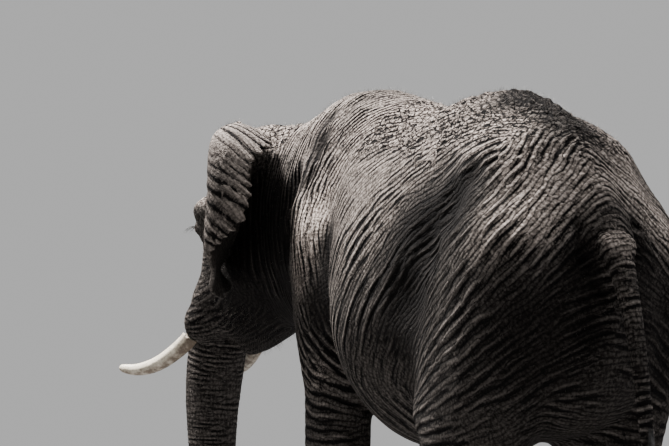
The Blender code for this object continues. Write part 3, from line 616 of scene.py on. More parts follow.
LIES = (
    # hip, rump and thigh
    Lie((-0.94, 0.14, 2.99), (0.85, 0.52, 0.02), 0.040, 0.45, 0.12),
    Lie((-0.67, 0.17, 3.05), (0.75, -0.60, 0.24), 0.036, 0.25, 0.14),
    Lie((-1.28, 0.05, 2.88), (-0.30, -0.89, 0.34), 0.045, 0.45, 0.10),
    Lie((-1.28, 0.18, 2.80), (0.60, -0.40, 0.55), 0.050, 0.35, 0.12),
    Lie((-1.28, -0.18, 2.81), (0.51, 0.50, 0.70), 0.034, 0.60, 0.10),
    Lie((-1.37, 0.24, 2.68), (0.20, -0.71, 0.68), 0.056, 0.70, 0.12),
    Lie((-1.33, 0.36, 2.60), (-0.05, -0.68, 0.73), 0.060, 1.00, 0.14),
    Lie((-1.30, 0.45, 2.55), (-0.05, -0.71, 0.70), 0.060, 1.10, 0.14),
    Lie((-1.24, 0.53, 2.48), (-0.37, -0.58, 0.73), 0.060, 1.15, 0.15),
    Lie((-1.47, 0.21, 2.55), (0.13, -0.66, 0.74), 0.056, 1.10, 0.13),
    Lie((-1.47, 0.35, 2.43), (0.18, -0.70, 0.68), 0.060, 1.20, 0.15),
    Lie((-1.43, 0.49, 2.33), (-0.18, -0.62, 0.76), 0.062, 1.20, 0.16),
    Lie((-1.45, 0.08, 2.68), (0.14, -0.57, 0.81), 0.045, 0.90, 0.09),
    Lie((-1.55, 0.16, 2.48), (0.13, -0.36, 0.93), 0.040, 0.90, 0.09),
    Lie((-1.55, 0.26, 2.29), (-0.21, -0.46, 0.87), 0.045, 0.80, 0.12),
    Lie((-1.44, -0.26, 2.56), (-0.09, 0.73, 0.68), 0.040, 0.80, 0.18),
    Lie((-1.05, 0.49, 2.66), (-0.77, -0.34, 0.55), 0.050, 1.00, 0.14),
    Lie((-1.10, 0.62, 2.26), (-0.76, -0.15, 0.63), 0.060, 1.20, 0.20),
    Lie((-1.30, 0.59, 2.11), (-0.78, -0.18, 0.60), 0.062, 1.20, 0.20),
    Lie((-1.51, 0.46, 2.07), (-0.45, -0.70, 0.56), 0.055, 0.80, 0.18),
    Lie((-1.56, 0.26, 2.07), (-0.36, -0.87, 0.34), 0.050, 0.60, 0.16),
    Lie((-1.43, 0.52, 1.92), (-0.72, -0.30, 0.62), 0.055, 0.80, 0.20),
    Lie((-1.53, 0.33, 1.82), (-0.21, -0.85, 0.48), 0.050, 0.60, 0.18),
    Lie((-1.10, 0.12, 1.70), (0.30, -0.90, 0.30), 0.060, 0.45, 0.26),
    Lie((-1.15, 0.58, 1.65), (-0.88, -0.23, 0.40), 0.055, 0.70, 0.26),
    # flank
    Lie((-0.99, 0.54, 2.56), (-0.87, -0.14, 0.47), 0.050, 1.20, 0.15),
    Lie((-0.87, 0.56, 2.46), (-0.88, -0.01, 0.48), 0.052, 1.20, 0.15),
    Lie((-0.82, 0.59, 2.33), (-0.84, 0.07, 0.54), 0.056, 1.20, 0.18),
    Lie((-0.62, 0.55, 2.60), (-0.85, -0.20, 0.48), 0.048, 1.00, 0.18),
    Lie((-0.53, 0.61, 2.16), (-0.74, -0.10, 0.66), 0.060, 1.10, 0.20),
    Lie((-0.73, 0.60, 1.91), (-0.78, 0.20, 0.60), 0.060, 1.10, 0.22),
    Lie((-0.65, 0.36, 2.88), (-0.80, -0.42, 0.42), 0.045, 0.35, 0.18),
    # ribs and back
    Lie((-0.38, 0.53, 2.57), (-0.90, -0.12, 0.42), 0.045, 0.90, 0.18),
    Lie((-0.33, 0.45, 2.77), (-0.91, -0.21, 0.36), 0.042, 0.40, 0.18),
    Lie((-0.25, 0.58, 2.41), (-0.70, -0.30, 0.65), 0.050, 0.95, 0.18),
    Lie((-0.13, 0.63, 2.26), (-0.55, -0.27, 0.79), 0.056, 0.95, 0.20),
    Lie((-0.14, 0.67, 2.05), (-0.41, -0.16, 0.90), 0.062, 0.90, 0.24),
    Lie((0.00, 0.15, 2.98), (-0.95, -0.20, 0.10), 0.040, 0.25, 0.24),
    Lie((0.15, 0.50, 2.70), (-0.80, -0.20, 0.55), 0.042, 0.35, 0.20),
    Lie((0.40, 0.30, 2.94), (-0.80, -0.41, 0.43), 0.036, 0.60, 0.18),
    Lie((0.20, 0.60, 2.40), (-0.45, -0.20, 0.86), 0.050, 0.70, 0.20),
    Lie((0.10, 0.66, 1.85), (-0.55, 0.10, 0.82), 0.066, 0.80, 0.26),
    Lie((0.10, 0.45, 1.45), (0.30, 0.90, 0.10), 0.080, 0.50, 0.30),
    # shoulder and withers
    Lie((0.62, 0.20, 3.05), (-0.58, -0.54, 0.61), 0.036, 1.60, 0.16),
    Lie((1.00, 0.25, 3.02), (0.10, -0.70, 0.70), 0.036, 1.50, 0.18),
    Lie((0.92, 0.34, 2.90), (0.25, -0.45, 0.86), 0.036, 2.60, 0.09),
    Lie((0.54, 0.42, 2.68), (-0.65, -0.17, 0.74), 0.040, 0.60, 0.18),
    Lie((0.79, 0.36, 2.84), (-0.41, -0.31, 0.86), 0.038, 1.80, 0.18),
    Lie((0.80, 0.47, 2.47), (0.08, -0.23, 0.97), 0.040, 0.55, 0.20),
    Lie((0.79, 0.51, 2.20), (0.27, -0.04, 0.96), 0.040, 0.55, 0.18),
    Lie((0.70, 0.51, 1.93), (0.54, 0.08, 0.84), 0.048, 0.90, 0.16),
    Lie((0.68, 0.50, 1.72), (0.90, 0.10, 0.40), 0.046, 0.80, 0.16),
    # neck
    Lie((1.30, 0.30, 2.86), (-0.10, -0.45, 0.88), 0.040, 1.40, 0.20),
    Lie((1.60, 0.28, 2.80), (0.07, -0.60, 0.80), 0.045, 1.00, 0.22),
    Lie((1.35, 0.34, 2.35), (0.10, -0.10, 0.98), 0.060, 1.10, 0.28),
    Lie((1.45, 0.12, 1.90), (0.10, 0.90, 0.20), 0.070, 1.00, 0.24),
)
# height, spacing and depth of the rings round every leg
LEG_RINGS = (
    (0.16, 0.040, 0.45),
    (0.40, 0.050, 0.20),
    (0.70, 0.046, 0.40),
    (0.95, 0.052, 0.25),
    (1.25, 0.056, 0.35),
)
# places along the head, given from its own joint
HEAD_LIES = (
    Lie((0.10, 0.24, 0.45), (0.2, 0.6, 0.8), 0.035, 0.20, 0.20),
    Lie((0.60, 0.10, 0.30), (0.0, 1.0, 0.05), 0.038, 0.20, 0.20),
    Lie((0.30, 0.32, 0.20), (0.3, 0.0, 0.95), 0.036, 0.5, 0.18),
    Lie((0.60, 0.30, 0.00), None, 0.026, 0.7, 0.10, "round"),
    Lie((0.30, 0.30, -0.20), (0.75, 0.0, -0.65), 0.040, 0.7, 0.18),
    Lie((0.45, 0.22, -0.42), (0.70, 0.2, -0.70), 0.038, 0.7, 0.16),
    Lie((0.25, 0.15, -0.60), (0.85, 0.2, -0.50), 0.042, 0.7, 0.18),
    Lie((0.02, 0.30, -0.10), (0.15, 0.0, 0.98), 0.045, 0.7, 0.18),
)
TRUNK_PATH = (
    # forward, rise
    (0.62, -0.02),
    (0.70, -0.25),
    (0.79, -0.50),
    (0.87, -0.78),
    (0.91, -1.05),
    (0.91, -1.35),
    (0.875, -1.62),
    (0.82, -1.85),
    (0.72, -2.02),
    (0.60, -2.12),
    (0.47, -2.14),
    (0.37, -2.09),
)
TAIL_PATH = (
    # forward, side, height
    (-1.50, 0.00, 2.60),
    (-1.58, 0.00, 2.40),
    (-1.65, -0.005, 2.29),
    (-1.73, -0.02, 2.10),
    (-1.77, -0.045, 1.85),
    (-1.79, -0.075, 1.55),
    (-1.80, -0.095, 1.28),
)


# spacing, depth and reach of the lines on the ears and of the rings round the trunk and the tail
EAR_LINES = (0.034, 0.30, 0.075)
TRUNK_RINGS = (0.038, 0.50, 0.20)
TAIL_RINGS = (0.036, 1.1, 0.13)
LEG_RING_REACH = 0.20


def rings_along(path, spacing, depth, reach):
    """Rings round a path of points."""
    return [Lie((near + far) / 2, far - near, spacing, depth, reach, "axis") for near, far in zip(path, path[1:])]


def flow_sources(ears):
    """Every lie of the creases, in place on both sides."""
    found = [lie for _, facing in SIDES for lie in ear_lies(facing, ears)]
    for lie in LIES:
        for facing in (1, -1):
            mirror = Vector((facing, 1, 1))
            place = BODY_ORIGIN + (at(*lie.place) - BODY_ORIGIN) * mirror
            towards = (at(*lie.towards) - BODY_ORIGIN) * mirror
            found.append(lie._replace(place=place, towards=towards))
    for lie in HEAD_LIES:
        for facing in (1, -1):
            forward, side, rise = lie.place
            place = towards = head_point(forward, facing * side, rise)
            if lie.towards:
                towards = head_direction(lie.towards[0], facing * lie.towards[1], lie.towards[2])
            found.append(lie._replace(place=place, towards=towards))
    found += rings_along([head_point(forward, 0, rise) for forward, rise in TRUNK_PATH], *TRUNK_RINGS)
    found += rings_along([at(*place) for place in TAIL_PATH], *TAIL_RINGS)
    for node in FLESH_NODES:
        if node.startswith("foot"):
            middle = box_middle(node)
            for height, spacing, depth in LEG_RINGS:
                place = Vector((middle.x, middle.y, height))
                found.append(Lie(place, Vector((0, 0, 1)), spacing, depth, LEG_RING_REACH, "axis"))
    return found


def unit(vectors):
    return vectors / np.maximum(np.linalg.norm(vectors, axis=-1, keepdims=True), 1e-9)


def lie_at(kind, towards, offset, normals):
    """The direction of the creases that one source asks for."""
    if kind == "line":
        return np.broadcast_to(np.array(towards), offset.shape)
    if kind == "round":
        return np.cross(offset, normals)
    return np.cross(np.array(towards), normals)


# creases are counted off in the direction across them that lies nearest to this one
UPWARD_BIAS = np.array((0.2, -0.5, 0.84))


def creases_at(points, normals, ears):
    """Which way the creases run at each point and which way lies across them, with their spacing and depth."""
    spread = np.zeros((len(points), 3, 3))
    totals = np.full(len(points), 1e-9)
    spacing = np.full(len(points), 0.05e-9)
    depth = np.full(len(points), 0.5e-9)
    for place, towards, wide, deep, reach, kind in flow_sources(ears):
        every = points - np.array(place)
        distance = np.einsum("ij,ij->i", every, every)
        chosen = np.flatnonzero(distance < (4.5 * reach) ** 2)
        offset, facing = every[chosen], normals[chosen]
        weight = np.exp(-distance[chosen] / (2 * reach**2))
        along = lie_at(kind, towards, offset, facing)
        along = unit(along - facing * (along * facing).sum(1, keepdims=True))
        spread[chosen] += weight[:, None, None] * along[:, :, None] * along[:, None, :]
        totals[chosen] += weight
        spacing[chosen] += weight * wide
        depth[chosen] += weight * deep
    along = np.linalg.eigh(spread)[1][:, :, 2]
    across = unit(np.cross(normals, along))
    across *= np.where(across @ UPWARD_BIAS < 0, -1, 1)[:, None]
    return np.cross(across, normals), across, spacing / totals, depth / totals


# half sizes of a wave packet along, across and out of the skin, in spacings of the folds, and its full reach
PACKET_LENGTH, PACKET_WIDTH, PACKET_THICKNESS = 2.6, 0.85, 0.9
PACKET_REACH = 2.2 * PACKET_LENGTH
PACKET_COVER = 0.8
CELL_SIZE = 0.16


def fold_wave(points, normals, along, across, spacing, rng):
    """A wave over the skin whose crests run along the creases, as complex numbers at most about 1 in size.

    It is made of many short wave packets. Each starts in step with those already laid under its middle, so the
    crests run on from one to the next, and they fork and end where the spacing asks for it.
    """
    cells = np.floor(points / CELL_SIZE).astype(int)
    order = np.lexsort(cells.T)
    buckets = {}
    breaks = np.flatnonzero(np.any(np.diff(cells[order], axis=0), axis=1)) + 1
    for group in np.split(order, breaks):
        buckets[tuple(cells[group[0]])] = group
    wave = np.zeros(len(points), complex)
    cover = np.zeros(len(points))
    for centre in rng.permutation(len(points)):
        if cover[centre] > PACKET_COVER:
            continue
        pace = spacing[centre]
        radius = PACKET_REACH * pace
        low = np.floor((points[centre] - radius) / CELL_SIZE).astype(int)
        high = np.floor((points[centre] + radius) / CELL_SIZE).astype(int) + 1
        found = [buckets.get(cell) for cell in product(*map(range, low, high))]
        around = np.concatenate([group for group in found if group is not None])
        offset = points[around] - points[centre]
        close = np.einsum("ij,ij->i", offset, offset) < radius**2
        around, offset = around[close], offset[close]
        run = offset @ along[centre] / (PACKET_LENGTH * pace)
        step = offset @ across[centre]
        off = offset @ normals[centre] / (PACKET_THICKNESS * pace)
        alike = np.clip(normals[around] @ normals[centre], 0, 1)
        share = alike * np.exp(-0.5 * (run**2 + (step / (PACKET_WIDTH * pace)) ** 2 + off**2))
        start = np.angle(wave[centre]) if cover[centre] > 0.02 else rng.uniform(0, 2 * math.pi)
        packet = np.exp(1j * (2 * math.pi * step / pace + start))
        same = np.sign(across[around] @ across[centre])
        wave[around] += share * (packet.real + 1j * same * packet.imag)
        cover[around] += share
    return wave / np.maximum(cover, 1e-6)


# place, reach, and how much paler (or darker, when negative) the hide is there: partly dust and mud, partly painted
# light and painted shade
DUST_MUD_AND_PAINTED_LIGHT = (
    # hip and top of the back
    ((-0.95, 0.24, 2.93), 0.13, 0.65),
    ((-0.80, 0.05, 3.08), 0.17, -0.62),
    ((-1.15, 0.00, 2.95), 0.15, -0.50),
    ((0.80, 0.15, 3.08), 0.25, -0.35),
    # pit in front of the hip, and the flank: painted shade for the shadow that the ribs cast over the hollow,
    # partly mud
    ((-1.05, 0.54, 2.56), 0.13, -0.90),
    ((-0.82, 0.54, 2.48), 0.18, -0.70),
    ((-0.62, 0.58, 2.34), 0.16, -0.50),
    ((-0.60, 0.60, 2.09), 0.24, -0.70),
    # rump, thigh and tail: painted shade beside the tail, on the lower thigh and round the head of the tail, a
    # painted highlight on the head of the tail, and painted light on the thigh and the rump
    ((-1.45, 0.25, 2.60), 0.30, -0.10),
    ((-1.20, 0.47, 2.64), 0.10, -0.22),
    ((-1.36, 0.46, 2.38), 0.18, 0.24),
    ((-1.60, 0.17, 2.28), 0.09, -0.60),
    ((-1.55, 0.36, 2.10), 0.22, -0.30),
    ((-1.50, 0.40, 1.80), 0.25, -0.40),
    ((-1.35, -0.30, 2.55), 0.24, 0.32),
    ((-1.66, 0.03, 2.33), 0.08, 0.20),
    ((-1.60, 0.06, 2.50), 0.08, -0.25),
    ((-1.74, -0.01, 2.05), 0.10, 0.12),
    # shoulder, foreleg and the folds behind the shoulder: painted light on the shoulder and the foreleg, painted
    # shade in the hollow behind the shoulder and in the grooves over the withers
    ((0.85, 0.45, 2.60), 0.22, 0.25),
    ((0.73, 0.45, 2.54), 0.12, 0.65),
    ((0.84, 0.50, 2.25), 0.18, 0.40),
    ((0.72, 0.50, 1.70), 0.20, 0.28),
    ((0.55, 0.48, 2.34), 0.08, -0.90),
    ((0.57, 0.48, 2.12), 0.10, -0.90),
    ((0.60, 0.46, 1.95), 0.14, -0.60),
    ((0.97, 0.27, 3.01), 0.06, -0.70),
    ((0.89, 0.36, 2.86), 0.06, -0.80),
    ((0.91, 0.43, 2.70), 0.06, -0.60),
    # ribs, neck, ears and cheek: painted light on the ribs and on the shaded lobes of the ears, and the painted
    # shadow of the ears on the neck, cheek and jaw
    ((-0.10, 0.60, 2.40), 0.20, 0.15),
    ((1.45, 0.25, 2.80), 0.20, 0.05),
    ((1.06, 0.88, 2.32), 0.10, 0.28),
    ((1.40, 0.76, 2.16), 0.12, 0.28),
    ((1.94, 0.45, 2.20), 0.12, -1.20),
    ((1.40, 0.38, 2.35), 0.32, -0.80),
    ((1.70, 0.25, 2.00), 0.35, -0.90),
)


def upness(points, normals):
    """1 where the hide faces up on the back, and 0 low down or where it hangs."""
    upward = smoothstep(-0.10, 0.85, normals[:, 2] + 0.25 * cloud(points, "upward"))
    return upward * smoothstep(1.9, 3.05, points[:, 2] + 0.15 * cloud(points, "high_up"))


def soft_spots(points, rows):
    """The sum at each point of soft round spots on both sides, given as rows of place, reach and strength."""
    total = np.zeros(len(points))
    for (forward, side, height), reach, strength in rows:
        for facing in (1, -1):
            offset = points - np.array(at(forward, facing * side, height))
            total += strength * np.exp(-(offset**2).sum(1) / (2 * reach**2))
    return total


LEAST_DUST, BACK_DUST = 0.06, 0.74
# hollows are darkened partly as mud and partly as painted shade, and the hide low down as painted shade
HOLLOW_MUD_AND_SHADE = 11.0
LOW_PAINTED_SHADE = 0.20
DARKEST_MUD_AND_SHADE, DUSTIEST = -1.2, 1
EAR_DUST = 0.14


def dust_and_painted_light_at(points, upward, pressed):
    """How pale the hide is: dust most on the back, darker low down as painted shade and in hollows as mud and
    painted shade, with spots of painted light and painted shade, and below 0 where it is muddy and shaded.
    """
    low_down = 1 - smoothstep(1.1, 2.3, points[:, 2])
    dust = LEAST_DUST + BACK_DUST * upward + HOLLOW_MUD_AND_SHADE * pressed - LOW_PAINTED_SHADE * low_down
    return np.clip(dust + soft_spots(points, DUST_MUD_AND_PAINTED_LIGHT), DARKEST_MUD_AND_SHADE, DUSTIEST)


# where the folds are thin cords: place, reach and how nearly
CORDS = (
    ((-1.40, 0.40, 2.45), 0.30, 1.0),
    ((-1.40, 0.55, 2.05), 0.35, 0.9),
    ((-1.00, 0.60, 2.10), 0.30, 0.7),
)


def fold_profile(phase, cord):
    """Height of a fold: a flat ridge with sharp valleys, or where cord is 1 a thin cord between flats."""
    broad = np.abs(np.cos(phase / 2)) ** 0.5
    return broad + cord * ((1 - np.abs(np.sin(phase / 2))) ** 1.5 - broad)


# the skin this near the ground is pressed flat on it
SOLE_THICKNESS = 0.012


def fold_strengths(points, depth, wave):
    """How strong the folds are at each point: livelier here and there, and none where their wave dies out."""
    lively = np.clip(0.75 + 0.8 * cloud(points, "depth") + 0.6 * cloud(points, "fine_depth"), 0.05, 1.6)
    return depth * lively * smoothstep(0.10, 0.55, np.abs(wave))


def cobble_heights(points, settings, exposed, depth):
    """The lumps of the bare back, where no deep folds run."""
    cobbles = np.abs(cloud(points, "cobbles")) - 0.3
    return settings.cobbles * exposed * (1 - smoothstep(0.6, 1.0, depth)) * cobbles


def folded(mesh, settings, ears):
    """Presses the folds into the skin and keeps what its finish needs to know of them."""
    points, normals, pressed = points_of(mesh), normals_of(mesh), kept(mesh, "pressed")
    along, across, spacing, depth = creases_at(points, normals, ears)
    spacing = spacing * np.clip(1 + 0.45 * cloud(points, "spacing"), 0.65, 1.5)
    wave = fold_wave(points, normals, along, across, spacing, np.random.default_rng(settings.seed))
    phase = np.angle(wave) + cloud(points, "phase")
    phase -= settings.overhang * (1 - np.cos(phase))
    strength = fold_strengths(points, depth, wave)
    ear, pleats, pleated = ear_pleats(points, ears)
    cord = np.where(ear > 0, EAR_CORD, np.minimum(soft_spots(points, CORDS), 1))
    upward = upness(points, normals)
    exposed = smoothstep(0.45, 0.75, upward) * (1 - ear)
    height = settings.fold_depth * strength * (fold_profile(phase, cord) - 0.6) * (2 - 1.1 * cord)
    height += cobble_heights(points, settings, exposed, depth)
    moved = points + normals * (height * (1 - ear))[:, None]
    moved[:, 2] = np.where(points[:, 2] < SOLE_THICKNESS, 0, np.maximum(moved[:, 2], 0))
    move_points(mesh, moved)
    phase = np.where(ear > 0, pleats, phase)
    strength = np.where(ear > 0, pleated, strength)
    store(mesh, "flow", across)
    store(mesh, "wave", np.stack((np.cos(phase), np.sin(phase), strength), axis=1))
    store(mesh, "dust", dust_and_painted_light_at(points, upward, pressed) * (1 - 0.6 * ear) + EAR_DUST * ear)
    store(mesh, "open", exposed)
    store(mesh, "lined", smoothstep(0.35, 0.85, depth + 0.25 * cloud(points, "lined")))
    store(mesh, "ear", ear)
    store(mesh, "cord", cord)
    return mesh


def thinned(mesh, triangles):
    """The same mesh with at most so many triangles, fewest where it is flat."""
    rich = new_object("rich", mesh)
    count = sum(len(face.vertices) - 2 for face in mesh.polygons)
    add_modifier(rich, "DECIMATE", ratio=min(1.0, triangles / count), use_collapse_triangulate=True)
    return applied(rich)


# ---------------------------------------------------------------- finishes


class Finish:
    """A material under construction. A value given to a node is a number, a colour or another node's socket."""

    def __init__(self, name):
        self.material = bpy.data.materials.new(name)
        self.material.use_nodes = True
        self.tree = self.material.node_tree
        self.shader = self.tree.nodes["Principled BSDF"]

    def give(self, socket, value):
        if isinstance(value, bpy.types.NodeSocket):
            self.tree.links.new(value, socket)
        else:
            socket.default_value = value

    def node(self, kind, inputs=(), **settings):
        made = self.tree.nodes.new(kind)
        for key, value in settings.items():
            setattr(made, key, value)
        for key, value in dict(inputs).items():
            self.give(made.inputs[key], value)
        return made

    def maths(self, operation, *values, clamp=False):
        made = self.node("ShaderNodeMath", operation=operation, use_clamp=clamp)
        for socket, value in zip(made.inputs, values):
            self.give(socket, value)
        return made.outputs[0]

    def times(self, first, second):
        return self.maths("MULTIPLY", first, second)

    def plus(self, total, value, share, clamp=False):
        """The total with so large a share of the value added."""
        return self.maths("MULTIPLY_ADD", value, share, total, clamp=clamp)

    def without(self, value):
        """1 less the value."""
        return self.maths("SUBTRACT", 1.0, value)

    def vectors(self, operation, first, second):
        return self.node("ShaderNodeVectorMath", {0: first, 1: second}, operation=operation).outputs[0]

    def attribute(self, name, output="Fac"):
        return self.node("ShaderNodeAttribute", attribute_name=name).outputs[output]

    def ramp(self, value, low, high, to_low=0.0, to_high=1.0):
        inputs = {"Value": value, "From Min": low, "From Max": high, "To Min": to_low, "To Max": to_high}
        return self.node("ShaderNodeMapRange", inputs, interpolation_type="SMOOTHSTEP").outputs[0]

    def mix(self, share, first, second, blend="MIX"):
        made = self.node("ShaderNodeMix", data_type="RGBA", blend_type=blend, clamp_factor=True)
        for socket, value in zip((made.inputs[0], made.inputs[6], made.inputs[7]), (share, first, second)):
            self.give(socket, value)
        return made.outputs[2]

    def noise(self, scale, detail=3.0, roughness=0.55, place=None, output="Fac"):
        inputs = {"Vector": place or self.place(), "Scale": scale, "Detail": detail, "Roughness": roughness}
        return self.node("ShaderNodeTexNoise", inputs).outputs[output]

    def place(self):
        return self.node("ShaderNodeTexCoord").outputs["Object"]

    def bump(self, height, strength=1.0):
        inputs = {"Strength": strength, "Distance": 1.0, "Height": height}
        self.give(self.shader.inputs["Normal"], self.node("ShaderNodeBump", inputs).outputs["Normal"])


WRINKLE_WAVES = 2.4
CREST_SHARPNESS = 1.6


def wrinkles(finish, across, scale):
    """Fine ridges of a wave that runs this way: 1 on a ridge and 0 in the sharp valley between two."""
    made = finish.node("ShaderNodeTexGabor", gabor_type="3D")
    given = {"Vector": finish.place(), "Scale": scale, "Frequency": WRINKLE_WAVES, "Anisotropy": 1.0}
    for socket in made.inputs:
        if socket.name in given:
            finish.give(socket, given[socket.name])
        elif socket.name == "Orientation" and socket.type == "VECTOR":
            finish.give(socket, across)
    phase = finish.times(made.outputs["Phase"], math.pi)
    return finish.maths("POWER", finish.maths("ABSOLUTE", finish.maths("SINE", phase)), 0.7)


def rgba(colour):
    return (*colour, 1)


def fold_lines(finish):
    """The main folds in full sharpness, from the wave kept on the skin: thin crest, broad crest and strength."""
    parts = finish.node("ShaderNodeSeparateXYZ", {0: finish.attribute("wave", "Vector")}).outputs
    squared = finish.plus(finish.times(parts[0], parts[0]), parts[1], parts[1])
    cosine = finish.maths("DIVIDE", parts[0], finish.maths("SQRT", finish.maths("MAXIMUM", squared, 0.0001)))
    halved = finish.maths("MULTIPLY_ADD", cosine, 0.5, 0.5, clamp=True)
    sine = finish.maths("SQRT", finish.maths("SUBTRACT", 1.0, halved, clamp=True))
    narrow = finish.maths("POWER", finish.without(sine), CREST_SHARPNESS)
    return narrow, finish.maths("SQRT", halved), finish.maths("MAXIMUM", parts[2], 0.0)


# what the skin keeps at each point for its finish
FINISH_NEEDS = ("flow", "wave", "dust", "open", "lined", "ear", "cord")


# the marks finer than the folds: their relief in metres and the painted shade of their hollows, and where there are
# two values, first on smooth hide and then on hide that is lined with folds
Marks = namedtuple("Marks", "wrinkles crossing cracks pits lumps grain")
WRINKLE_HEIGHTS, WRINKLE_SHADES = (0.0020, 0.0046), (0.60, 0.85)
CROSSING_HEIGHT, CROSSING_SHADE = 0.0016, 0.25
CRACK_DEPTHS, CRACK_SHADE = (-0.0045, -0.0020), 0.75
PIT_DEPTH, PIT_SHADE = -0.0060, 0.85
LUMP_HEIGHT = 0.0085
GRAIN_HEIGHT = 0.0014
FOLD_SHADE, CORD_SHADE = 2.6, 0.35
SPECKLE_DARK, SPECKLE_PALE = (0.38, 0.36, 0.35, 1), (1.35, 1.33, 1.31, 1)


def crack_lines(finish, place, scale, width):
    """1 in the cracks between the plates of the hide and 0 on the plates."""
    plates = finish.node("ShaderNodeTexVoronoi", {"Vector": place, "Scale": scale}, feature="DISTANCE_TO_EDGE")
    return finish.without(finish.ramp(plates.outputs["Distance"], 0.0, width))


def hide_marks(finish, lined):
    """The marks finer than the folds, each from 0 to 1."""
    flow = finish.attribute("flow", "Vector")
    normal = finish.node("ShaderNodeNewGeometry").outputs["Normal"]
    along = finish.vectors("CROSS_PRODUCT", normal, flow)
    jitter = finish.vectors("MULTIPLY", finish.noise(30.0, 2.0, output="Color"), (0.014,) * 3)
    place = finish.vectors("ADD", finish.place(), jitter)
    squeezed = finish.vectors("MULTIPLY", place, (1.5, 0.65, 1.3))
    faint = finish.ramp(finish.noise(9.0, 2.0), 0.35, 0.65, 0.10, 0.60)
    patches = finish.ramp(finish.noise(5.0, 3.0, 0.6), 0.36, 0.56)
    holes = finish.ramp(finish.noise(30.0, 2.0, 0.5, squeezed), 0.55, 0.64)
    pits = finish.maths("MAXIMUM", crack_lines(finish, place, 27.0, 0.13), finish.times(holes, patches))
    open_back = finish.times(finish.ramp(lined, 0.1, 0.9, 1.0, 0.15), finish.attribute("open"))
    return Marks(
        wrinkles=wrinkles(finish, flow, 14.0),
        crossing=wrinkles(finish, along, 18.0),
        cracks=finish.times(crack_lines(finish, place, 58.0, 0.12), faint),
        pits=finish.times(pits, open_back),
        lumps=finish.noise(60.0, 3.0, 0.62),
        grain=finish.noise(190.0, 2.0, 0.6),
    )


def marks_height(finish, marks, lined, rough):
    """How far the fine marks stand out of the hide."""
    height = finish.times(marks.cracks, finish.ramp(lined, 0.0, 1.0, *CRACK_DEPTHS))
    height = finish.plus(height, marks.wrinkles, finish.ramp(lined, 0.0, 1.0, *WRINKLE_HEIGHTS))
    height = finish.plus(height, marks.crossing, CROSSING_HEIGHT)
    height = finish.plus(height, marks.lumps, LUMP_HEIGHT)
    height = finish.plus(height, marks.pits, PIT_DEPTH)
    height = finish.plus(height, marks.grain, GRAIN_HEIGHT)
    return finish.times(height, rough)


def marks_painted_shade(finish, marks, lined, rough):
    """How dark the painted shade in the hollows of the fine marks is."""
    painted_shade = finish.times(finish.without(marks.wrinkles), finish.ramp(lined, 0.0, 1.0, *WRINKLE_SHADES))
    painted_shade = finish.plus(painted_shade, finish.without(marks.crossing), CROSSING_SHADE)
    painted_shade = finish.plus(painted_shade, marks.cracks, CRACK_SHADE)
    painted_shade = finish.plus(painted_shade, marks.pits, PIT_SHADE)
    return finish.times(painted_shade, rough)


def hide_colour_with_painted_light(finish, settings, dust, mud_and_shade, lumps, rough):
    """The hide's colour: dusty, bare or muddy, darkened as painted shade and paled as painted light where the dust
    value says so, and speckled by its lumps.
    """
    uneven = finish.maths("SUBTRACT", finish.noise(2.6, 4.0, 0.6), 0.5)
    dusted = finish.plus(dust, uneven, 0.5, clamp=True)
    colour = finish.mix(dusted, rgba(settings.middle), rgba(settings.dusty))
    # mud and painted shade: darkened hide turns to the mud colour, and where darkest to the crease colour
    colour = finish.mix(mud_and_shade, colour, rgba(settings.muddy))
    colour = finish.mix(finish.ramp(dust, -1.1, -0.45, 0.6, 0.0), colour, rgba(settings.dark))
    speckled = finish.mix(finish.ramp(lumps, 0.38, 0.62), SPECKLE_DARK, SPECKLE_PALE)
    return finish.mix(rough, colour, finish.mix(1.0, colour, speckled, "MULTIPLY"))


def hide_material(settings):
    """Dry grey hide: dusty where it faces up, with painted shade that makes it black in its creases, painted
    highlights on the crests of its folds, and wrinkles finer than the folds.
    """
    finish = Finish("elephant_hide")
    dust, lined, cord = (finish.attribute(name) for name in ("dust", "lined", "cord"))
    rough = finish.ramp(finish.attribute("ear"), 0.0, 1.0, 1.0, 0.75)
    mud_and_shade = finish.ramp(dust, -0.55, 0.05, 1.0, 0.0)
    narrow, rounded, strength = fold_lines(finish)
    marks = hide_marks(finish, lined)

    flat = finish.maths("POWER", rounded, 0.6)
    crest = finish.maths("ADD", flat, finish.times(cord, finish.maths("SUBTRACT", narrow, flat)))
    height = marks_height(finish, marks, lined, rough)
    finish.bump(finish.plus(height, finish.times(crest, strength), settings.fold_relief))

    colour = hide_colour_with_painted_light(finish, settings, dust, mud_and_shade, marks.lumps, rough)
    # the crests of the folds are paler towards the dust colour: partly dust rubbed on them and partly painted
    # highlight
    crest_dust_and_highlight = finish.times(finish.maths("POWER", narrow, 1.8), strength)
    crest_dust_and_highlight = finish.times(crest_dust_and_highlight, finish.without(finish.times(mud_and_shade, 0.8)))
    colour = finish.mix(finish.times(crest_dust_and_highlight, 0.30), colour, rgba(settings.dusty))
    # painted shade: the valleys of the folds, and the hollows of the finer marks below, are darkened towards the
    # crease colour
    deep = finish.maths("POWER", finish.without(rounded), 1.6)
    deep = finish.times(deep, finish.ramp(cord, 0.0, 1.0, 1.0, CORD_SHADE))
    painted_shade = marks_painted_shade(finish, marks, lined, rough)
    painted_shade = finish.plus(painted_shade, finish.times(deep, strength), FOLD_SHADE, clamp=True)
    finish.give(finish.shader.inputs["Base Color"], finish.mix(painted_shade, colour, rgba(settings.dark)))
    finish.shader.inputs["Roughness"].default_value = 0.90
    finish.shader.inputs["Specular IOR Level"].default_value = 0.03
    return finish.material


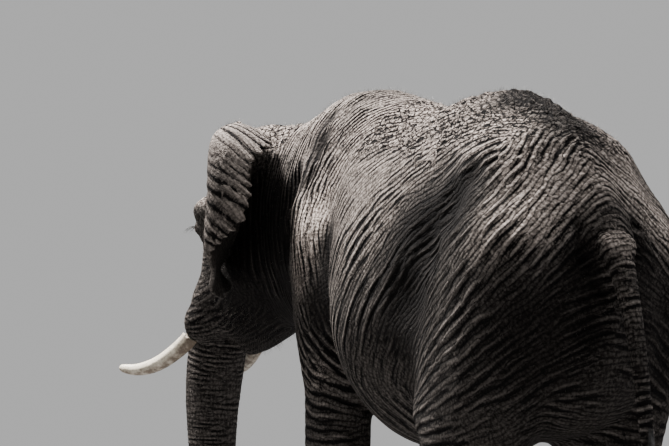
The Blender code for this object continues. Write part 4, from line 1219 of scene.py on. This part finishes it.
class ELEPHANT_OT_skin(bpy.types.Operator):
    """Fuse, fold and finish the skin, in place of the nodes of flesh"""

    bl_idname = "elephant.skin"
    bl_label = "Skin"

    def execute(self, context):
        settings = context.scene.elephant_skin
        form = sculpted(skin_form(settings, context.scene.elephant_ears))
        mesh = thinned(folded(form, settings, context.scene.elephant_ears), settings.triangles)
        mesh.name = "skin"
        mesh.shade_smooth()
        skin = new_object("skin", mesh)
        mesh.materials.clear()
        mesh.materials.append(hide_material(settings))
        carry(skin, "skin", *SKIN_NODES)
        return {"FINISHED"}


# ---------------------------------------------------------------- tusks and nails


def smoothed_copy(name, nodes, voxel, smoothing):
    """A rounder copy of these CAD nodes, as one piece that stands in for them."""
    mesh = fused_form(nodes, voxel, smoothing, grow=0.001)
    mesh.name = name
    mesh.shade_smooth()
    mesh.materials.clear()
    return new_object(name, mesh)


def carry(piece, slot, *nodes):
    """Ties a piece to the body and hides the CAD nodes it stands for; the material slot it is given is not used."""
    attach(piece, "root")
    if nodes:
        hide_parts(*nodes)


IVORY, IVORY_STAIN_AND_SHADE, IVORY_STREAK = (0.66, 0.60, 0.49, 1), (0.085, 0.058, 0.036, 1), (0.20, 0.155, 0.105, 1)
HORN, HORN_STREAK, HORN_BLOTCH = (0.24, 0.21, 0.175, 1), (0.085, 0.072, 0.060, 1), (0.09, 0.075, 0.06, 1)


def ivory_material():
    """Worn ivory, stained brown towards the lip, and darker underneath with stain and painted shade."""
    finish = Finish("worn_ivory")
    rooted = finish.attribute("rooted")
    facing = finish.node("ShaderNodeSeparateXYZ", {0: finish.node("ShaderNodeNewGeometry").outputs["Normal"]})
    # darker where it faces down: partly brown stain and partly painted shade
    underside_stain_and_shade = finish.ramp(facing.outputs["Z"], -0.7, 0.55, 1.0, 0.0)
    blotches = finish.noise(26.0, 5.0, 0.65)
    streaks = finish.noise(110.0, 3.0, 0.6)
    stain_and_underside_shade = finish.plus(finish.times(rooted, 0.9), underside_stain_and_shade, 0.95)
    stain_and_underside_shade = finish.plus(stain_and_underside_shade, finish.maths("SUBTRACT", blotches, 0.54), 1.7, clamp=True)
    colour = finish.mix(stain_and_underside_shade, IVORY, IVORY_STAIN_AND_SHADE)
    colour = finish.mix(finish.ramp(streaks, 0.55, 0.75), colour, IVORY_STREAK)
    finish.give(finish.shader.inputs["Base Color"], colour)
    finish.give(finish.shader.inputs["Roughness"], finish.ramp(stain_and_underside_shade, 0.0, 1.0, 0.38, 0.65))
    finish.bump(finish.plus(finish.times(blotches, 0.0016), streaks, 0.0006))
    return finish.material


# where the left tusk leaves the lip, and the way it grows
TUSK_LIP = (0.705, 0.222, -0.55)
TUSK_LEAN = (0.070, 0.0, -0.110)
TUSK_ROOT_RUN = 0.06
TUSK_STAINED_RUN = 0.26


class ELEPHANT_OT_tusks(bpy.types.Operator):
    """Smooth tusks whose roots run up into the lips"""

    bl_idname = "elephant.tusks"
    bl_label = "Tusks"

    def execute(self, context):
        material = ivory_material()
        for word, facing in SIDES:
            tusk = smoothed_copy(f"tusk_of_ivory_{word}", [f"tusk_{word}"], 0.005, 8)
            points = points_of(tusk.data)
            root = np.array(head_point(TUSK_LIP[0], facing * TUSK_LIP[1], TUSK_LIP[2]))
            axis = np.array(head_direction(*TUSK_LEAN).normalized())
            run = (points - root) @ axis
            rooted = 1 - smoothstep(0.02, TUSK_STAINED_RUN, np.linalg.norm(points - root, axis=1))
            points -= axis * (TUSK_ROOT_RUN * (1 - smoothstep(0.0, 0.05, run)))[:, None]
            move_points(tusk.data, points)
            store(tusk.data, "rooted", rooted)
            tusk.data.materials.append(material)
            carry(tusk, "ivory", f"tusk_{word}")
        return {"FINISHED"}


def nail_material():
    """Dull horn, streaked upright and blotched darker."""
    finish = Finish("toenail_horn")
    parts = finish.node("ShaderNodeSeparateXYZ", {0: finish.place()}).outputs
    drawn_out = finish.node("ShaderNodeCombineXYZ", {0: parts[0], 1: parts[1], 2: finish.times(parts[2], 0.12)})
    streaks = finish.noise(120.0, 3.0, 0.6, drawn_out.outputs[0])
    blotches = finish.noise(30.0, 4.0, 0.6)
    colour = finish.mix(streaks, HORN_STREAK, HORN)
    colour = finish.mix(finish.ramp(blotches, 0.45, 0.70), colour, HORN_BLOTCH)
    finish.give(finish.shader.inputs["Base Color"], colour)
    finish.shader.inputs["Roughness"].default_value = 0.6
    finish.bump(finish.plus(finish.times(blotches, 0.0020), streaks, 0.0012))
    return finish.material


# half the size of the box round a nail's middle that holds it
NAIL_REACH = 0.08
NAIL_FLATTENING = 0.45


class ELEPHANT_OT_nails(bpy.types.Operator):
    """Rounded toenails"""

    bl_idname = "elephant.nails"
    bl_label = "Toenails"

    def execute(self, context):
        nails = smoothed_copy("nails_of_horn", NAIL_NODES, 0.006, 4)
        points = points_of(nails.data)
        for node in NAIL_NODES:
            foot = node.replace("nail", "foot").rsplit("_", 1)[0]
            middle = np.array(box_middle(node))
            outward = middle - np.array(box_middle(foot))
            outward[2] = 0
            outward /= np.linalg.norm(outward)
            near = np.abs(points - middle).max(axis=1) < NAIL_REACH
            beyond = np.maximum((points[near] - middle) @ outward, 0)
            points[near] -= outward * (NAIL_FLATTENING * beyond)[:, None]
        move_points(nails.data, points)
        nails.data.materials.append(nail_material())
        carry(nails, "toenail", *NAIL_NODES)
        return {"FINISHED"}


# ---------------------------------------------------------------- eyes and lids

EYE_RADIUS = 0.0205
LID_HALF_LENGTH = 0.0185
LID_OPEN_ABOVE, LID_OPEN_BELOW = 0.0122, 0.0092
LID_REACH = 0.050
LID_THICK = 0.005
LID_SHEET = 0.0015
LID_FOLDS, LID_FOLD_DEPTH = 4, 0.0013
LID_SINK = 0.001
CORNEA_SPREAD, CORNEA_BULGE = 0.62, 0.07
PUPIL, IRIS_DARK, IRIS_PALE = (0.002, 0.002, 0.002, 1), (0.045, 0.018, 0.006, 1), (0.17, 0.075, 0.024, 1)
EYE_RIM, EYE_WHITE = (0.030, 0.018, 0.012, 1), (0.16, 0.11, 0.09, 1)


def eye_material():
    """A dark amber iris round a black pupil, wet all over."""
    finish = Finish("eye")
    spread = finish.attribute("spread")
    fibres = finish.noise(420.0, 4.0, 0.6)
    iris = finish.mix(fibres, IRIS_DARK, IRIS_PALE)
    colour = finish.mix(finish.ramp(spread, 0.20, 0.25), PUPIL, iris)
    colour = finish.mix(finish.ramp(spread, 0.52, 0.66), colour, EYE_RIM)
    colour = finish.mix(finish.ramp(spread, 0.75, 0.95), colour, EYE_WHITE)
    finish.give(finish.shader.inputs["Base Color"], colour)
    finish.shader.inputs["Roughness"].default_value = 0.06
    finish.shader.inputs["Coat Weight"].default_value = 0.6
    return finish.material


class ELEPHANT_OT_eyes(bpy.types.Operator):
    """Wet eyeballs with a bulging cornea"""

    bl_idname = "elephant.eyes"
    bl_label = "Eyes"

    def execute(self, context):
        material = eye_material()
        for word, facing in SIDES:
            centre, gaze, *_ = eye_frame(facing)
            built = bmesh.new()
            bmesh.ops.create_uvsphere(built, u_segments=48, v_segments=32, radius=EYE_RADIUS)
            spreads = []
            for vertex in built.verts:
                spread = vertex.co.angle(gaze)
                vertex.co *= 1 + CORNEA_BULGE * max(0.0, 1 - (spread / CORNEA_SPREAD) ** 2)
                vertex.co += centre
                spreads.append(spread)
            eye = new_object(f"eyeball_{word}", mesh_from(f"eyeball_{word}", built))
            store(eye.data, "spread", np.array(spreads))
            eye.data.shade_smooth()
            eye.data.materials.append(material)
            carry(eye, "eye", f"eye_{word}")
        return {"FINISHED"}


def lid_point(facing, angle, out, surface):
    """A point of the lids: round the eye by the angle, and out from their margin on to the skin."""
    centre, gaze, corner, upward = eye_frame(facing)
    opening = LID_OPEN_ABOVE if math.sin(angle) > 0 else LID_OPEN_BELOW
    wide, high = LID_HALF_LENGTH * math.cos(angle), opening * math.sin(angle)
    margin = math.sqrt(EYE_RADIUS**2 - wide**2 - high**2)
    far = centre + (corner * math.cos(angle) + upward * math.sin(angle)) * LID_REACH
    hit, *_ = surface.ray_cast(far + gaze * 0.08, -gaze, 0.20)
    skin = (hit - centre).dot(gaze) - 0.004 if hit else -0.01
    ease = out**1.15
    wide += (LID_REACH * math.cos(angle) - wide) * out
    high += (LID_REACH * math.sin(angle) - high) * out
    rim = LID_THICK * smoothstep(0.0, 0.10, out) * (1 - out)
    folds = LID_FOLD_DEPTH * math.cos(2 * math.pi * (LID_FOLDS * out + 0.25 * math.cos(angle)))
    height = margin + (skin - margin) * ease + rim + folds * smoothstep(0.1, 0.25, out) * (1 - out)
    return centre + corner * wide + upward * high + gaze * (height - LID_SINK)


def pass_on(skin, mesh, centre):
    """Gives the mesh what its finish needs to know, as the skin has it at the nearest place within reach."""
    points = points_of(skin)
    near = np.flatnonzero(np.linalg.norm(points - np.array(centre), axis=1) < 3 * LID_REACH)
    tree = KDTree(len(near))
    for index in near.tolist():
        tree.insert(points[index], index)
    tree.balance()
    nearest = [tree.find(vertex.co)[1] for vertex in mesh.vertices]
    for name in FINISH_NEEDS:
        store(mesh, name, kept(skin, name)[nearest])


class ELEPHANT_OT_lids(bpy.types.Operator):
    """Wrinkled lids round each eye"""

    bl_idname = "elephant.lids"
    bl_label = "Eyelids"

    def execute(self, context):
        skin = bpy.data.objects["skin"]
        surface = BVHTree.FromObject(skin, context.evaluated_depsgraph_get())
        for word, facing in SIDES:
            built = bmesh.new()
            bmesh.ops.create_grid(built, x_segments=72, y_segments=36, size=0.5)
            for vertex in built.verts:
                angle, out = 2 * math.pi * (vertex.co.x + 0.5), vertex.co.y + 0.5
                vertex.co = lid_point(facing, angle, out, surface)
            bmesh.ops.remove_doubles(built, verts=built.verts, dist=0.00001)
            lids = new_object(f"eyelids_{word}", mesh_from(f"eyelids_{word}", built))
            add_modifier(lids, "SOLIDIFY", thickness=LID_SHEET, offset=0)
            mesh = applied(lids)
            pass_on(skin.data, mesh, eye_frame(facing)[0])
            mesh.shade_smooth()
            mesh.materials.append(skin.data.materials[0])
            carry(new_object(f"eyelids_{word}", mesh), "skin")
        return {"FINISHED"}


# ---------------------------------------------------------------- hairs

HAIR_GAP = 4
PATCH_SIZE = 0.0015
# a kind of hair: its radius, how far it droops as a share of its length, the rings of corners along it, and its
# colour and roughness
Hair = namedtuple("Hair", "radius droop rings colour roughness")
TAIL_HAIR = Hair(0.0011, 0.05, 6, (0.020, 0.017, 0.015), 0.45)
LASH = Hair(0.0006, 0.65, 6, (0.014, 0.012, 0.010), 0.45)
BRISTLE = Hair(0.0006, 0.10, 2, (0.11, 0.095, 0.08), 0.5)
LASH_LENGTHS = (0.045, 0.085)
BRISTLE_LENGTHS = (0.010, 0.022)
BRISTLE_ROOT_DEPTH = 0.003


def hair_patches(roots):
    """Where each root lies on the skin unrolled round the body's own length, both from 0 to 1."""
    low, high = (np.array(corner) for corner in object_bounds())
    across = (np.arctan2(roots[:, 0], roots[:, 2] - high[2] / 2) / (2 * math.pi)) + 0.5
    return np.stack((across, (roots[:, 1] - low[1]) / (high[1] - low[1])), axis=1) * 0.99


def hairs(name, kind, roots, directions, lengths):
    """Tapering hairs of one kind as one mesh: each leaves its root in its direction and droops."""
    built = bmesh.new()
    bmesh.ops.create_cone(built, cap_ends=True, segments=3, radius1=1, radius2=0.2, depth=1)
    bmesh.ops.translate(built, vec=(0, 0, 0.5), verts=built.verts)
    upright = [edge for edge in built.edges if abs(edge.verts[0].co.z - edge.verts[1].co.z) > 0.5]
    bmesh.ops.subdivide_edges(built, edges=upright, cuts=kind.rings - 1, use_grid_fill=True)
    single = mesh_from(name, built)
    size = len(single.vertices)
    row = new_object(name, single)
    add_modifier(
        row, "ARRAY", count=len(roots), use_relative_offset=False, use_constant_offset=True,
        constant_offset_displace=(HAIR_GAP, 0, 0),
    )
    mesh = applied(row)
    points = points_of(mesh).reshape(len(roots), size, 3)
    points[:, :, 0] -= HAIR_GAP * np.arange(len(roots))[:, None]
    forward = unit(directions)
    sideways = unit(np.cross(forward, np.array((0.3, 0.5, 0.81))))
    third = np.cross(forward, sideways)
    run = points[:, :, 2:]
    reach = lengths[:, None, None] * run
    sag = np.array((0.0, 0.0, -1.0)) * (kind.droop * lengths)[:, None, None] * run**2
    spread = sideways[:, None] * points[:, :, :1] + third[:, None] * points[:, :, 1:2]
    placed = roots[:, None] + forward[:, None] * reach + sag + spread * kind.radius
    move_points(mesh, placed.reshape(-1, 3))
    patches = hair_patches(roots)[:, None] + np.concatenate((points[:, :, :1] + 1, run * 2), axis=2) * PATCH_SIZE
    corners = np.empty(len(mesh.loops), np.int64)
    mesh.loops.foreach_get("vertex_index", corners)
    layer = mesh.uv_layers.new(name="OFBake")
    layer.uv.foreach_set("vector", patches.reshape(-1, 2)[corners].astype(np.float32).ravel())
    mesh.shade_smooth()
    return new_object(name, mesh)


def hair_material(name, kind):
    finish = Finish(name)
    tone = finish.noise(60.0, 2.0)
    darker = tuple(0.5 * channel for channel in kind.colour)
    finish.give(finish.shader.inputs["Base Color"], finish.mix(tone, rgba(darker), rgba(kind.colour)))
    finish.shader.inputs["Roughness"].default_value = kind.roughness
    return finish.material


class ElephantHairSettings(bpy.types.PropertyGroup):
    tuft: IntProperty(name="Tail Hairs", description="Wires in the tail's tuft", default=420)
    lashes: IntProperty(name="Lashes", description="Lashes on each eye", default=70)
    bristles: IntProperty(name="Bristles", description="Bristles over the whole skin", default=7000)
    seed: IntProperty(name="Seed", description="Changes where hairs stand", default=3)


# the roots of the tail's wires: half the gap between their two rows, and how far they are spread up the tail
TUFT_HALF_GAP = 0.020
TUFT_RUN = 0.22
TUFT_ROOT_DEPTH = 0.03


class ELEPHANT_OT_tuft(bpy.types.Operator):
    """The two rows of wires on the end of the tail"""

    bl_idname = "elephant.tuft"
    bl_label = "Tail Tuft"

    def execute(self, context):
        settings = context.scene.elephant_hair
        rng = np.random.default_rng(settings.seed)
        low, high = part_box("tail_tuft")
        length = high.z - low.z
        count = settings.tuft
        start = rng.uniform(0, 1, count)
        row = rng.choice((-1.0, 1.0), count)
        roots = np.empty((count, 3))
        roots[:, 0] = (low.x + high.x) / 2 + rng.normal(0, 0.007, count) + 0.015 * start
        roots[:, 1] = (low.y + high.y) / 2 + row * (TUFT_HALF_GAP + 0.006 * start)
        roots[:, 2] = high.z - TUFT_ROOT_DEPTH + TUFT_RUN * start
        away = np.stack((rng.normal(0, 0.05, count), row * rng.uniform(0.02, 0.22, count), -np.ones(count)), axis=1)
        lengths = (0.62 + 0.38 * rng.uniform(0, 1, count)) * length * (1 + 0.15 * start)
        tuft = hairs("tail_hairs", TAIL_HAIR, roots, away, lengths)
        tuft.data.materials.append(hair_material("tail_hair", TAIL_HAIR))
        carry(tuft, "hair", "tail_tuft")
        return {"FINISHED"}


class ELEPHANT_OT_lashes(bpy.types.Operator):
    """Long lashes on the upper lids"""

    bl_idname = "elephant.lashes"
    bl_label = "Lashes"

    def execute(self, context):
        settings = context.scene.elephant_hair
        rng = np.random.default_rng(settings.seed)
        for word, facing in SIDES:
            centre, gaze, corner, upward = (np.array(vector) for vector in eye_frame(facing))
            angles = rng.uniform(math.radians(15), math.radians(165), settings.lashes)
            round_eye = np.stack((np.cos(angles), np.sin(angles)), axis=1)
            flat = round_eye * np.array((LID_HALF_LENGTH, LID_OPEN_ABOVE)) * 1.08
            rise = np.sqrt(EYE_RADIUS**2 - np.minimum((flat**2).sum(1), 0.00038))
            roots = centre + flat[:, :1] * corner + flat[:, 1:] * upward + rise[:, None] * gaze
            away = gaze + 0.8 * round_eye[:, :1] * corner + 0.25 * upward
            away = away + rng.normal(0, 0.10, (settings.lashes, 3))
            lengths = rng.uniform(*LASH_LENGTHS, settings.lashes)
            lashes = hairs(f"lashes_{word}", LASH, roots, away, lengths)
            lashes.data.materials.append(hair_material(f"lash_{word}", LASH))
            carry(lashes, "hair")
        return {"FINISHED"}


# how thickly bristles stand: everywhere, and how much more so along the crest of the back, on the head and chin
BARE_SHARE, CREST_SHARE, HEAD_SHARE, CHIN_SHARE = 0.10, 1.2, 0.9, 2.5
BRISTLE_LEAST_HEIGHT = 0.35


class ELEPHANT_OT_bristles(bpy.types.Operator):
    """Sparse bristles, thickest on the head, the chin, the trunk and along the back"""

    bl_idname = "elephant.bristles"
    bl_label = "Bristles"

    def execute(self, context):
        settings = context.scene.elephant_hair
        rng = np.random.default_rng(settings.seed)
        skin = bpy.data.objects["skin"].data
        points, normals = points_of(skin), normals_of(skin)
        ahead = -(points[:, 1] - BODY_ORIGIN.y)
        crest = smoothstep(0.55, 0.95, normals[:, 2]) * smoothstep(2.5, 2.9, points[:, 2])
        on_head = smoothstep(1.70, 2.05, ahead)
        chin = on_head * smoothstep(2.1, 1.8, points[:, 2]) * smoothstep(2.25, 2.05, ahead)
        weight = BARE_SHARE + CREST_SHARE * crest + HEAD_SHARE * on_head + CHIN_SHARE * chin
        weight *= points[:, 2] > BRISTLE_LEAST_HEIGHT
        chosen = rng.choice(len(points), settings.bristles, replace=False, p=weight / weight.sum())
        away = normals[chosen] + np.array((0, 0.30, -0.15)) + rng.normal(0, 0.22, (settings.bristles, 3))
        lengths = rng.uniform(*BRISTLE_LENGTHS, settings.bristles) * (1 + crest[chosen] + chin[chosen])
        roots = points[chosen] - normals[chosen] * BRISTLE_ROOT_DEPTH
        bristles = hairs("bristles", BRISTLE, roots, away, lengths)
        bristles.data.materials.append(hair_material("bristle", BRISTLE))
        carry(bristles, "hair")
        return {"FINISHED"}


# ---------------------------------------------------------------- stage


class ElephantStageSettings(bpy.types.PropertyGroup):
    lens: FloatProperty(name="Lens", description="Focal length in millimetres", default=199.1)
    distance: FloatProperty(name="Distance", description="From the body's middle", default=19.5, unit="LENGTH")
    height: FloatProperty(name="Camera Height", description="Above the floor", default=2.3, unit="LENGTH")
    bearing: FloatProperty(
        name="Bearing", description="Round from straight behind", default=math.atan2(0.469, 0.883), unit="ROTATION"
    )
    aim_left: FloatProperty(name="Aim Left", description="Aim", default=math.radians(1.897), unit="ROTATION")
    aim_up: FloatProperty(name="Aim Up", description="Aim", default=math.radians(0.449), unit="ROTATION")
    floor_radius: FloatProperty(name="Floor Radius", description="Radius of the floor", default=14.0, unit="LENGTH")
    key: FloatProperty(name="Key Light", description="Power of the main light, in watts", default=3900)
    fill: FloatProperty(name="Fill Light", description="Power of the light from its right, in watts", default=430)
    top: FloatProperty(name="Top Light", description="Power of the light from above, in watts", default=500)
    low_light: FloatProperty(name="Low Light", description="Strength of the light from below", default=0.10)
    high_light: FloatProperty(name="High Light", description="Strength of the light from above", default=0.85)
    backdrop: FloatVectorProperty(
        name="Backdrop", description="Colour behind it", subtype="COLOR", size=3, default=(0.50, 0.50, 0.50)
    )


# every light: place on the body's own axes, size across and colour
LIGHTS = {
    "key": ((4.4, 2.4, 8.6), 1.6, (1.0, 0.975, 0.95)),
    "fill": ((-6.5, -7.0, 5.5), 5.0, (0.97, 0.98, 1.0)),
    "top": ((0.5, 0.0, 9.0), 4.0, (1.0, 0.99, 0.98)),
}
LIT_HEIGHT = 2.0
PAPER = (0.34, 0.34, 0.34, 1)
# how far down and up the light from around it fades, as the sine of the height above the horizon
FADE_LOW, FADE_HIGH = -0.25, 0.9
SENSOR_WIDTH = 36
FAR_CLIP = 200


def area_light(name, place, target, size, power, colour):
    data = bpy.data.lights.new(name, "AREA")
    data.shape = "DISK"
    data.size = size
    data.energy = power
    data.color = colour
    lamp = bpy.data.objects.new(name, data)
    lamp.location = place
    lamp.rotation_euler = (target - place).to_track_quat("-Z", "Y").to_euler()
    bpy.context.scene.collection.objects.link(lamp)


def studio_world(settings):
    """A plain grey backdrop, with light that comes more from above than from below."""
    world = bpy.data.worlds.new("studio")
    world.use_nodes = True
    nodes, links = world.node_tree.nodes, world.node_tree.links
    seen = nodes["Background"]
    seen.inputs["Color"].default_value = rgba(settings.backdrop)
    lighting = nodes.new("ShaderNodeBackground")
    lighting.inputs["Color"].default_value = rgba(settings.backdrop)
    height = nodes.new("ShaderNodeSeparateXYZ")
    links.new(nodes.new("ShaderNodeTexCoord").outputs["Generated"], height.inputs[0])
    fade = nodes.new("ShaderNodeMapRange")
    fade.inputs["From Min"].default_value = FADE_LOW
    fade.inputs["From Max"].default_value = FADE_HIGH
    fade.inputs["To Min"].default_value = settings.low_light
    fade.inputs["To Max"].default_value = settings.high_light
    links.new(height.outputs["Z"], fade.inputs["Value"])
    links.new(fade.outputs[0], lighting.inputs["Strength"])
    choice = nodes.new("ShaderNodeMixShader")
    links.new(nodes.new("ShaderNodeLightPath").outputs["Is Camera Ray"], choice.inputs[0])
    links.new(lighting.outputs[0], choice.inputs[1])
    links.new(seen.outputs[0], choice.inputs[2])
    links.new(choice.outputs[0], nodes["World Output"].inputs["Surface"])
    return world


def studio_floor(settings):
    """A plain round floor of pale paper."""
    built = bmesh.new()
    bmesh.ops.create_circle(built, cap_ends=True, segments=96, radius=settings.floor_radius)
    bmesh.ops.translate(built, vec=(BODY_ORIGIN.x, BODY_ORIGIN.y, 0), verts=built.verts)
    floor = new_object("studio_floor", mesh_from("studio_floor", built))
    paper = Finish("studio_paper")
    paper.shader.inputs["Base Color"].default_value = PAPER
    paper.shader.inputs["Roughness"].default_value = 0.9
    floor.data.materials.append(paper.material)
    return floor


def long_lens(settings):
    """The camera, far behind and to the left, turned a little off the middle of the body."""
    data = bpy.data.cameras.new("view")
    data.lens = settings.lens
    data.sensor_width = SENSOR_WIDTH
    data.clip_end = FAR_CLIP
    camera = bpy.data.objects.new("view", data)
    behind = settings.distance * math.cos(settings.bearing)
    place = at(-behind, settings.distance * math.sin(settings.bearing), 0)
    place.z = settings.height
    ahead = Vector((BODY_ORIGIN.x - place.x, BODY_ORIGIN.y - place.y, 0)).normalized()
    ahead.rotate(Matrix.Rotation(settings.aim_left, 3, "Z"))
    ahead = (ahead + Vector((0, 0, math.tan(settings.aim_up)))).normalized()
    camera.location = place
    camera.rotation_euler = ahead.to_track_quat("-Z", "Y").to_euler()
    return camera


class ELEPHANT_OT_stage(bpy.types.Operator):
    """Floor, soft studio light and the camera"""

    bl_idname = "elephant.stage"
    bl_label = "Stage"

    def execute(self, context):
        settings = context.scene.elephant_stage
        floor = studio_floor(settings)
        floor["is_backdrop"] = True
        context.scene.world = studio_world(settings)
        for name, (place, size, colour) in LIGHTS.items():
            area_light(name, at(*place), at(0, 0, LIT_HEIGHT), size, getattr(settings, name), colour)
        camera = long_lens(settings)
        context.scene.collection.objects.link(camera)
        context.scene.camera = camera
        return {"FINISHED"}


# ---------------------------------------------------------------- panel and registration


class ELEPHANT_PT_looks(bpy.types.Panel):
    """Lists the elephant's pieces"""

    bl_idname = "ELEPHANT_PT_looks"
    bl_label = "Elephant"
    bl_space_type = "VIEW_3D"
    bl_region_type = "UI"
    bl_category = "Elephant"

    def draw(self, context):
        for operator in PIECES:
            self.layout.operator(operator.bl_idname)


SETTINGS = {
    "elephant_skin": ElephantSkinSettings,
    "elephant_ears": ElephantEarSettings,
    "elephant_hair": ElephantHairSettings,
    "elephant_stage": ElephantStageSettings,
}
PIECES = (
    ELEPHANT_OT_skin,
    ELEPHANT_OT_tusks,
    ELEPHANT_OT_nails,
    ELEPHANT_OT_eyes,
    ELEPHANT_OT_lids,
    ELEPHANT_OT_tuft,
    ELEPHANT_OT_lashes,
    ELEPHANT_OT_bristles,
    ELEPHANT_OT_stage,
)
CLASSES = (*SETTINGS.values(), *PIECES, ELEPHANT_PT_looks)


def register():
    for made in CLASSES:
        bpy.utils.register_class(made)
    for name, group in SETTINGS.items():
        setattr(bpy.types.Scene, name, PointerProperty(type=group))


def unregister():
    for name in SETTINGS:
        delattr(bpy.types.Scene, name)
    for made in reversed(CLASSES):
        bpy.utils.unregister_class(made)


def main():
    register()
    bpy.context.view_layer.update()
    bpy.ops.elephant.skin()
    bpy.ops.elephant.tusks()
    bpy.ops.elephant.nails()
    bpy.ops.elephant.eyes()
    bpy.ops.elephant.lids()
    bpy.ops.elephant.tuft()
    bpy.ops.elephant.lashes()
    bpy.ops.elephant.bristles()
    bpy.ops.elephant.stage()


if __name__ == "__main__":
    main()
